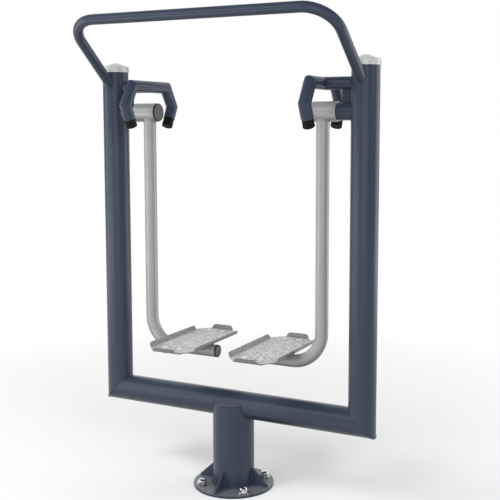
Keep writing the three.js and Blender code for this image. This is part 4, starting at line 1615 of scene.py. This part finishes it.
@dataclass
class Tread:
    """Raised lens-shaped marks on a pedal's floor, in rows that lean to one side and the other."""

    pitch: float = 0.0125
    length: float = 0.0110
    width: float = 0.0048
    height: float = 0.0013
    sink: float = 0.0002
    reach: float = 0.2
    sides: int = 12

    def mark(self) -> Form:
        """Domes one mark, which lies along X.

        Returns:
            The mark.
        """
        levels = [(1.0, -self.sink)] + [(share, rise * self.height) for share, rise in LENS_RISE_SHARES]
        sections = []
        for share, height in levels:
            points = []
            for k in range(self.sides):
                angle = FULL_TURN * k / self.sides
                along = math.cos(angle)
                across = math.sin(angle) * (1 - along * along * LENS_WAIST_SHARE)
                points.append(Vector((along * self.length / 2 * share, across * self.width / 2 * share,
                                      height)))
            sections.append(points)
        sections.append([ALONG_Z * self.height])
        return lofted(sections, foot=True)

    def form(self, is_clear: Callable[[float, float, float], bool]) -> Form:
        """Lays the marks over the floor.

        Args:
            is_clear: Tells whether a place is clear by a margin.

        Returns:
            All the marks.
        """
        count = math.ceil(self.reach / self.pitch)
        made = Form()
        for row in range(-count, count + 1):
            for column in range(-count, count + 1):
                x, y = column * self.pitch, row * self.pitch
                if is_clear(x, y, self.length / 2):
                    lean = QUARTER_TURN / 2 if (row + column) % 2 else -QUARTER_TURN / 2
                    spin = Matrix.Translation((x, y, 0)) @ Matrix.Rotation(lean, 4, "Z")
                    made.add(self.mark().moved(spin))
        return made


LENS_RISE_SHARES = ((0.9, 0.35), (0.7, 0.75), (0.4, 0.96))
LENS_WAIST_SHARE = 0.35


@dataclass
class Pedal:
    """The tray on its carrier, with raised tread, screws and nuts."""

    layout: Layout
    middle_x: float = 0.150
    top_z: float = 0.4838
    half_width: float = 0.080
    half_length: float = 0.1885
    side_half: float = 0.151
    end_half: float = 0.0465
    sheet: float = 0.003
    lip_inset: float = 0.005
    lip_height: float = 0.013
    lip_bend: float = 0.004
    lip_angle: float = math.radians(68)
    side_rounding: float = 0.010
    end_rounding: float = 0.015
    screw_x: float = 0.028
    screw_y: float = 0.1453
    screw_head: float = 0.0075
    screw_face: float = 0.0041
    screw_rise: float = 0.0035
    screw_socket: float = 0.005
    screw_depth: float = 0.0022
    screw_shank: float = 0.004
    screw_tail: float = 0.0014
    nut_flats: float = 0.013
    nut_height: float = 0.0065
    seat_gap: float = 0.0003
    carrier_sheet: float = 0.005
    pad_half_width: float = 0.052
    pad_half_length: float = 0.032
    finger_width: float = 0.026
    finger_end: float = 0.014
    cheek_depth: float = 0.017
    cheek_half: float = 0.044
    cheek_corner: float = 0.006
    cheek_bead: float = 0.0024
    carrier_edge: float = 0.0008
    foot_z: float = 0.454
    foot_radius: float = 0.0212
    lip_least: float = 0.0002
    lip_rises: int = 12
    lip_ends: int = 14
    screw_sides: int = 48
    head_steps: int = 6
    tread: Tread = field(default_factory=Tread)

    def build(self, side: Side) -> None:
        """Makes the pedal of one half.

        Args:
            side: Which half.
        """
        place = side.matrix() @ Matrix.Translation((self.middle_x, 0, self.top_z))
        origin = place.translation
        SHOP.make(f"tray_{side.name}", self.tray().moved(place), Slot.TRAY_METAL, side.body,
                  [f"pedal_tray_{side.name}"], origin)
        # The tread marks are painted near-white: painted glints.
        SHOP.make(f"tread_{side.name}", self.tread.form(self.is_clear).moved(place), Slot.TRAY_METAL,
                  side.body, (), origin, special=TREAD_PAINTED_GLINTS)
        SHOP.make(f"carrier_{side.name}", self.carrier().moved(place), Slot.SILVER_PAINT, side.body,
                  [f"pedal_carrier_{side.name}"], origin, bevel=self.carrier_edge)
        SHOP.weld(f"weld_carrier_{side.name}", self.carrier_beads(), Slot.SILVER_PAINT, side.body, place)
        for number, (x, y) in enumerate(self.screw_places(), 1):
            matrix = place @ Matrix.Translation((x, y, 0))
            # The screw heads are painted near-white: painted glints.
            SHOP.make(f"screw_{side.name}_{number}", self.screw().moved(matrix), Slot.STAINLESS,
                      side.body, [f"pedal_screw_{side.name}_{number}"], matrix.translation,
                      special=SCREW_PAINTED_GLINT)

    def screw_places(self) -> list[tuple[float, float]]:
        """Returns where the screws stand on the tray."""
        return [(x, y) for x in (-self.screw_x, self.screw_x) for y in (-self.screw_y, self.screw_y)]

    def half_width_at(self, y: float) -> float:
        """Returns half the floor's width at a distance from its middle."""
        share = max(0.0, abs(y) - self.side_half) / (self.half_length - self.side_half)
        return self.half_width - share * (self.half_width - self.end_half)

    def is_clear(self, x: float, y: float, margin: float) -> bool:
        """Tells whether a place on the floor is clear of edges and screws.

        Args:
            x: Across the tray.
            y: Along the tray.
            margin: How far it has to be clear.

        Returns:
            Whether it is.
        """
        inside = abs(y) < self.half_length - margin and abs(x) < self.half_width_at(y) - margin
        room = self.screw_head + margin
        return inside and all(math.hypot(x - sx, y - sy) > room for sx, sy in self.screw_places())

    def tray(self) -> Form:
        """Folds the sheet: the floor and its four lips.

        Returns:
            The tray.
        """
        outline = [(-self.end_half, -self.half_length), (self.end_half, -self.half_length),
                   (self.half_width, -self.side_half), (self.half_width, self.side_half),
                   (self.end_half, self.half_length), (-self.end_half, self.half_length),
                   (-self.half_width, self.side_half), (-self.half_width, -self.side_half)]
        form = slab(outline, -self.sheet, 0)
        for turn in (0, HALF_TURN):
            long_lip = self.lip(self.half_width, self.side_half - self.lip_inset, self.side_rounding)
            short_lip = self.lip(self.half_length, self.end_half - self.lip_inset, self.end_rounding)
            form.add(long_lip.moved(Matrix.Rotation(turn, 4, "Z")))
            form.add(short_lip.moved(Matrix.Rotation(turn + QUARTER_TURN, 4, "Z")))
        return form

    def lip_point(self, height: float, depth: float) -> tuple[float, float]:
        """Follows the lip's inner face up to a height.

        Args:
            height: How high above the floor.
            depth: How far into the sheet, square to the inner face.

        Returns:
            The distance out from the fold, and the height, of that point.
        """
        bend_rise = self.lip_bend * (1 - math.cos(self.lip_angle))
        angle = math.acos(1 - min(height, bend_rise) / self.lip_bend)
        run = max(0.0, height - bend_rise) / math.sin(self.lip_angle)
        out = (self.lip_bend + depth) * math.sin(angle) + run * math.cos(self.lip_angle)
        up = self.lip_bend - (self.lip_bend + depth) * math.cos(angle) + run * math.sin(self.lip_angle)
        return out, up

    def lip(self, edge: float, half: float, rounding: float) -> Form:
        """Shapes one lip along Y, folded up at an edge towards +X, with rounded ends.

        Args:
            edge: Where the fold is, along X.
            half: Half the lip's length.
            rounding: How far from an end the lip reaches its full height.

        Returns:
            The lip.
        """
        ends, rises = self.lip_ends, self.lip_rises
        near = [rounding * (1 - math.cos(QUARTER_TURN * k / ends)) for k in range(ends + 1)]
        stations = [-half + step for step in near] + [half - step for step in near[::-1]]
        sections = []
        for y in stations:
            share = 1 - min(half - abs(y), rounding) / rounding
            height = max(self.lip_height * math.sqrt(max(0.0, 1 - share * share)), self.lip_least)
            section = [self.lip_point(height * k / rises, 0.0) for k in range(rises + 1)]
            crown = self.sheet * LIP_CROWN_SHARE * height / self.lip_height
            for place in LIP_CROWN_PLACES:
                out, up = self.lip_point(height, self.sheet * place)
                lift = crown * (1 - (2 * place - 1) ** 2)
                section.append((out + lift * math.cos(self.lip_angle),
                                up + lift * math.sin(self.lip_angle)))
            section += [self.lip_point(height * k / rises, self.sheet) for k in range(rises, -1, -1)]
            sections.append([Vector((edge + out, y, up)) for out, up in section])
        return lofted(sections, foot=True, head=True)

    def carrier(self) -> Form:
        """Folds the carrier: a pad with four fingers, and two cheeks on the foot tube.

        Returns:
            The carrier.
        """
        top = -self.sheet - self.seat_gap
        reach = self.screw_y + self.finger_end
        out = self.screw_x + self.finger_width / 2
        slot = self.screw_x - self.finger_width / 2
        quarter = [(slot, self.pad_half_length), (slot, reach), (out, reach), (out, self.pad_half_length),
                   (self.pad_half_width, self.pad_half_length)]
        outline = quarter + [(x, -y) for x, y in quarter[::-1]]
        outline += [(-x, -y) for x, y in quarter] + [(-x, y) for x, y in quarter[::-1]]
        form = slab(outline, top - self.carrier_sheet, top)
        low = top - self.carrier_sheet - self.cheek_depth
        high = top - self.carrier_sheet / 2
        half, corner = self.cheek_half, self.cheek_corner
        for facing in (-1, 1):
            cheek = plate([(-half, high), (-half, low + corner), (-half + corner, low),
                           (half - corner, low), (half, low + corner), (half, high)], self.carrier_sheet)
            offset = facing * (self.foot_radius + self.seat_gap + self.carrier_sheet / 2)
            form.add(cheek.moved(Matrix.Translation((0, offset, 0))))
        return form

    def carrier_beads(self) -> list[WeldBead]:
        """Follows the seams between the cheeks' lower edges and the foot tube.

        Returns:
            Their beads.
        """
        low = -self.sheet - self.seat_gap - self.carrier_sheet - self.cheek_depth
        depth = low - (self.foot_z - self.top_z)
        x = self.cheek_half - self.cheek_corner
        beads = []
        for facing in (-1, 1):
            y = facing * math.sqrt(max(self.foot_radius ** 2 - depth ** 2, 0.0))
            line = [Vector((-x, y, low)), Vector((x, y, low))]
            beads.append(WeldBead(line, ALONG_Z, self.cheek_bead, closed=False))
        return beads

    def screw(self) -> Form:
        """Turns a button-head screw through tray and carrier, with its lock nut underneath.

        Returns:
            The screw and its nut.
        """
        sides = self.screw_sides
        under = -self.sheet - 2 * self.seat_gap - self.carrier_sheet
        seat = self.seat_gap
        foot_rise = self.screw_rise * HEAD_FOOT_SHARE
        outside = [circle(self.screw_shank, sides, under), circle(self.screw_shank, sides, seat),
                   circle(self.screw_head, sides, seat)]
        for k in range(self.head_steps + 1):
            angle = QUARTER_TURN * k / self.head_steps
            radius = self.screw_face + (self.screw_head - self.screw_face) * math.cos(angle)
            rise = foot_rise + (self.screw_rise - foot_rise) * math.sin(angle)
            outside.append(circle(radius, sides, seat + rise))
        form = with_socket(outside, seat + self.screw_rise, self.screw_socket, self.screw_depth)
        low = under - self.nut_height
        tail = [circle(self.screw_shank, sides, z) for z in (low - self.screw_tail, low)]
        nut = chamfered_hexagon(self.nut_flats, low, under, sides)
        return form.add(lofted(tail + nut, foot=True, head=True))


HEAD_FOOT_SHARE = 0.3
LIP_CROWN_SHARE = 0.25
LIP_CROWN_PLACES = (0.12, 0.5, 0.88)


def seen_share(tree: bpy.types.NodeTree) -> bpy.types.NodeSocket:
    """Adds the share of a ray that shows a surface: to the camera, in a mirror or through glass.

    Args:
        tree: Where the nodes go.

    Returns:
        1 for such a ray, and 0 for one that only lights.
    """
    rays = tree.nodes.new("ShaderNodeLightPath")
    seen = rays.outputs["Is Camera Ray"]
    for name in ("Is Glossy Ray", "Is Transmission Ray"):
        both = tree.nodes.new("ShaderNodeMath")
        both.operation = "MAXIMUM"
        tree.links.new(seen, both.inputs[0])
        tree.links.new(rays.outputs[name], both.inputs[1])
        seen = both.outputs["Value"]
    return seen


@dataclass(frozen=True)
class SoftBox:
    """A soft light round the walker, aimed at a height on its axis.

    Its azimuth counts from the camera's, and is negative to the left in the picture.
    """

    name: str
    azimuth: float
    distance: float
    height: float
    aim: float
    size: tuple[float, float]
    brightness: float
    mirrored: bool = True

    def build(self, facing: float) -> None:
        """Hangs the light.

        Args:
            facing: The camera's azimuth as seen from the walker.
        """
        light = bpy.data.lights.new(self.name, "AREA")
        light.shape = "RECTANGLE"
        light.size, light.size_y = self.size
        light.energy = WATTS_PER_BRIGHTNESS * self.size[0] * self.size[1] * self.brightness
        lamp = bpy.data.objects.new(self.name, light)
        way = Matrix.Rotation(facing + self.azimuth, 3, "Z") @ ALONG_X
        lamp.location = way * self.distance + ALONG_Z * self.height
        lamp.rotation_euler = (ALONG_Z * self.aim - lamp.location).to_track_quat("-Z", "Y").to_euler()
        lamp.visible_camera = False
        lamp.visible_glossy = self.mirrored
        bpy.context.scene.collection.objects.link(lamp)


WATTS_PER_BRIGHTNESS = 4.0
SOFT_BOXES = (
    SoftBox("left_box", math.radians(-96), 2.7, 1.3, 1.3, (1.5, 2.4), 1.45),
    SoftBox("right_box", math.radians(102), 2.7, 1.3, 1.3, (1.9, 2.4), 1.65),
    SoftBox("front_box", math.radians(-4), 4.4, 1.7, 1.7, (3.2, 3.0), 1.1),
    SoftBox("right_fill", math.radians(52), 3.4, 2.0, 1.5, (1.5, 1.6), 1.0),
    SoftBox("low_box", math.radians(-62), 2.4, 0.68, 0.6, (1.28, 0.9), 1.9),
    SoftBox("high_box", math.radians(-57), 3.2, 2.8, 1.3, (2.2, 1.4), 1.7),
    SoftBox("key", math.radians(-74), 3.2, 3.7, 0.4, (1.3, 1.3), 9.5, mirrored=False),
    SoftBox("front_key", math.radians(20), 4.2, 2.4, 0.6, (1.2, 1.2), 9.5, mirrored=False),
)


@dataclass
class Studio:
    """The pale floor, the soft boxes, the dark tent in front and the camera."""

    floor_radius: float = 14.0
    floor_sides: int = 96
    floor_roughness: float = 0.9
    floor_specular: float = 0.1
    floor_tone: tuple[float, float, float] = (0.94, 0.94, 0.945)
    floor_bounce: tuple[float, float, float] = (0.10, 0.10, 0.10)
    floor_glow: float = 0.15
    fade_start: float = 0.3
    fade_end: float = 2.3
    world_light: float = 0.32
    tent_radius: float = 7.0
    tent_height: float = 6.0
    tent_gap: float = math.radians(90)
    tent_behind: float = 3.2
    tent_tone: float = 0.05
    tent_steps: int = 60
    camera_place: tuple[float, float, float] = (1.44927, -2.64640, 1.22354)
    camera_azimuth: float = math.radians(26.448)
    camera_tilt: float = math.radians(6.007)
    camera_lens: float = 65.736
    camera_sensor: float = 36.0
    camera_shift: tuple[float, float] = (-0.0371, -0.0607)

    def build(self) -> None:
        """Sets up everything that isn't the walker."""
        facing = math.atan2(self.camera_place[1], self.camera_place[0])
        self.floor()
        self.world()
        self.tent(facing)
        for box in SOFT_BOXES:
            box.build(facing)
        self.camera()
        bpy.context.scene.view_settings.view_transform = "Standard"

    def floor(self) -> None:
        """Lays the floor, which fades to white with distance."""
        form = Form()
        form.cap(form.ring(circle(self.floor_radius, self.floor_sides)))
        floor = bpy.data.objects.new("floor", form.mesh("floor"))
        bpy.context.scene.collection.objects.link(floor)
        made = NodeMaterial("pale_floor")
        nodes = made.tree.nodes
        seen = seen_share(made.tree)
        made.link(made.blended(seen, self.floor_bounce, self.floor_tone), made.shader.inputs["Base Color"])
        made.shader.inputs["Roughness"].default_value = self.floor_roughness
        made.shader.inputs["Specular IOR Level"].default_value = self.floor_specular
        distance = nodes.new("ShaderNodeVectorMath")
        distance.operation = "LENGTH"
        made.link(made.place, distance.inputs[0])
        fade = made.ranged(distance.outputs["Value"], self.floor_glow, 1.0, self.fade_start, self.fade_end)
        share = nodes.new("ShaderNodeMath")
        share.operation = "MULTIPLY"
        made.link(fade, share.inputs[0])
        made.link(seen, share.inputs[1])
        glow = nodes.new("ShaderNodeEmission")
        mix = nodes.new("ShaderNodeMixShader")
        made.link(share.outputs["Value"], mix.inputs["Fac"])
        made.link(made.shader.outputs["BSDF"], mix.inputs[1])
        made.link(glow.outputs["Emission"], mix.inputs[2])
        made.link(mix.outputs["Shader"], nodes["Material Output"].inputs["Surface"])
        made.material.cycles.emission_sampling = "NONE"
        floor.data.materials.append(made.material)

    def world(self) -> None:
        """Sets a white surround for what is seen and mirrored, and a softer one for what it lights."""
        world = bpy.data.worlds.new("surround")
        bpy.context.scene.world = world
        world.use_nodes = True
        tree = world.node_tree
        background = tree.nodes["Background"]
        background.inputs["Color"].default_value = (1.0, 1.0, 1.0, 1.0)
        level = tree.nodes.new("ShaderNodeMapRange")
        level.inputs["To Min"].default_value = self.world_light
        level.inputs["To Max"].default_value = 1.0
        tree.links.new(seen_share(tree), level.inputs["Value"])
        tree.links.new(level.outputs["Result"], background.inputs["Strength"])

    def tent(self, facing: float) -> None:
        """Puts up the dark tent that paint and metal mirror, open towards the backdrop.

        Args:
            facing: The camera's azimuth as seen from the walker.
        """
        form = Form()
        steps = self.tent_steps
        half = HALF_TURN - self.tent_gap / 2
        angles = [facing - half + 2 * half * k / steps for k in range(steps + 1)]
        walls = [form.ring([Vector((self.tent_radius * math.cos(a), self.tent_radius * math.sin(a), z))
                            for a in angles]) for z in (0.0, self.tent_height)]
        for k in range(steps):
            form.faces.append((walls[0][k], walls[0][k + 1], walls[1][k + 1], walls[1][k]))
        corners = [(-self.tent_behind, -1), (self.tent_radius, -1), (self.tent_radius, 1),
                   (-self.tent_behind, 1)]
        turn = Matrix.Rotation(facing, 3, "Z")
        form.cap(form.ring([turn @ Vector((x, side * self.tent_radius, self.tent_height))
                            for x, side in corners]))
        tent = bpy.data.objects.new("tent", form.mesh("tent"))
        bpy.context.scene.collection.objects.link(tent)
        made = NodeMaterial("dark_cloth")
        glow = made.tree.nodes.new("ShaderNodeEmission")
        glow.inputs["Color"].default_value = (self.tent_tone, self.tent_tone, self.tent_tone, 1.0)
        made.link(glow.outputs["Emission"], made.tree.nodes["Material Output"].inputs["Surface"])
        made.material.cycles.emission_sampling = "NONE"
        tent.data.materials.append(made.material)
        tent.visible_camera = False
        tent.visible_diffuse = False
        tent.visible_shadow = False

    def camera(self) -> None:
        """Places the camera at the photograph's viewing angle."""
        lens = bpy.data.cameras.new("camera")
        lens.lens = self.camera_lens
        lens.sensor_width = self.camera_sensor
        lens.shift_x, lens.shift_y = self.camera_shift
        camera = bpy.data.objects.new("camera", lens)
        camera.location = self.camera_place
        camera.rotation_euler = (QUARTER_TURN - self.camera_tilt, 0.0, self.camera_azimuth)
        bpy.context.scene.collection.objects.link(camera)
        bpy.context.scene.camera = camera


def main() -> None:
    """Builds the walker and its studio."""
    logging.basicConfig(level=logging.INFO, format="%(name)s: %(message)s")
    layout = Layout.read()
    Base(layout).build()
    Portal(layout).build()
    for side in (RIGHT, LEFT):
        StopBracket(layout).build(side)
        Pivot(layout).build(side)
        Leg(layout).build(side)
        Pedal(layout).build(side)
    Studio().build()


if __name__ == "__main__":
    main()
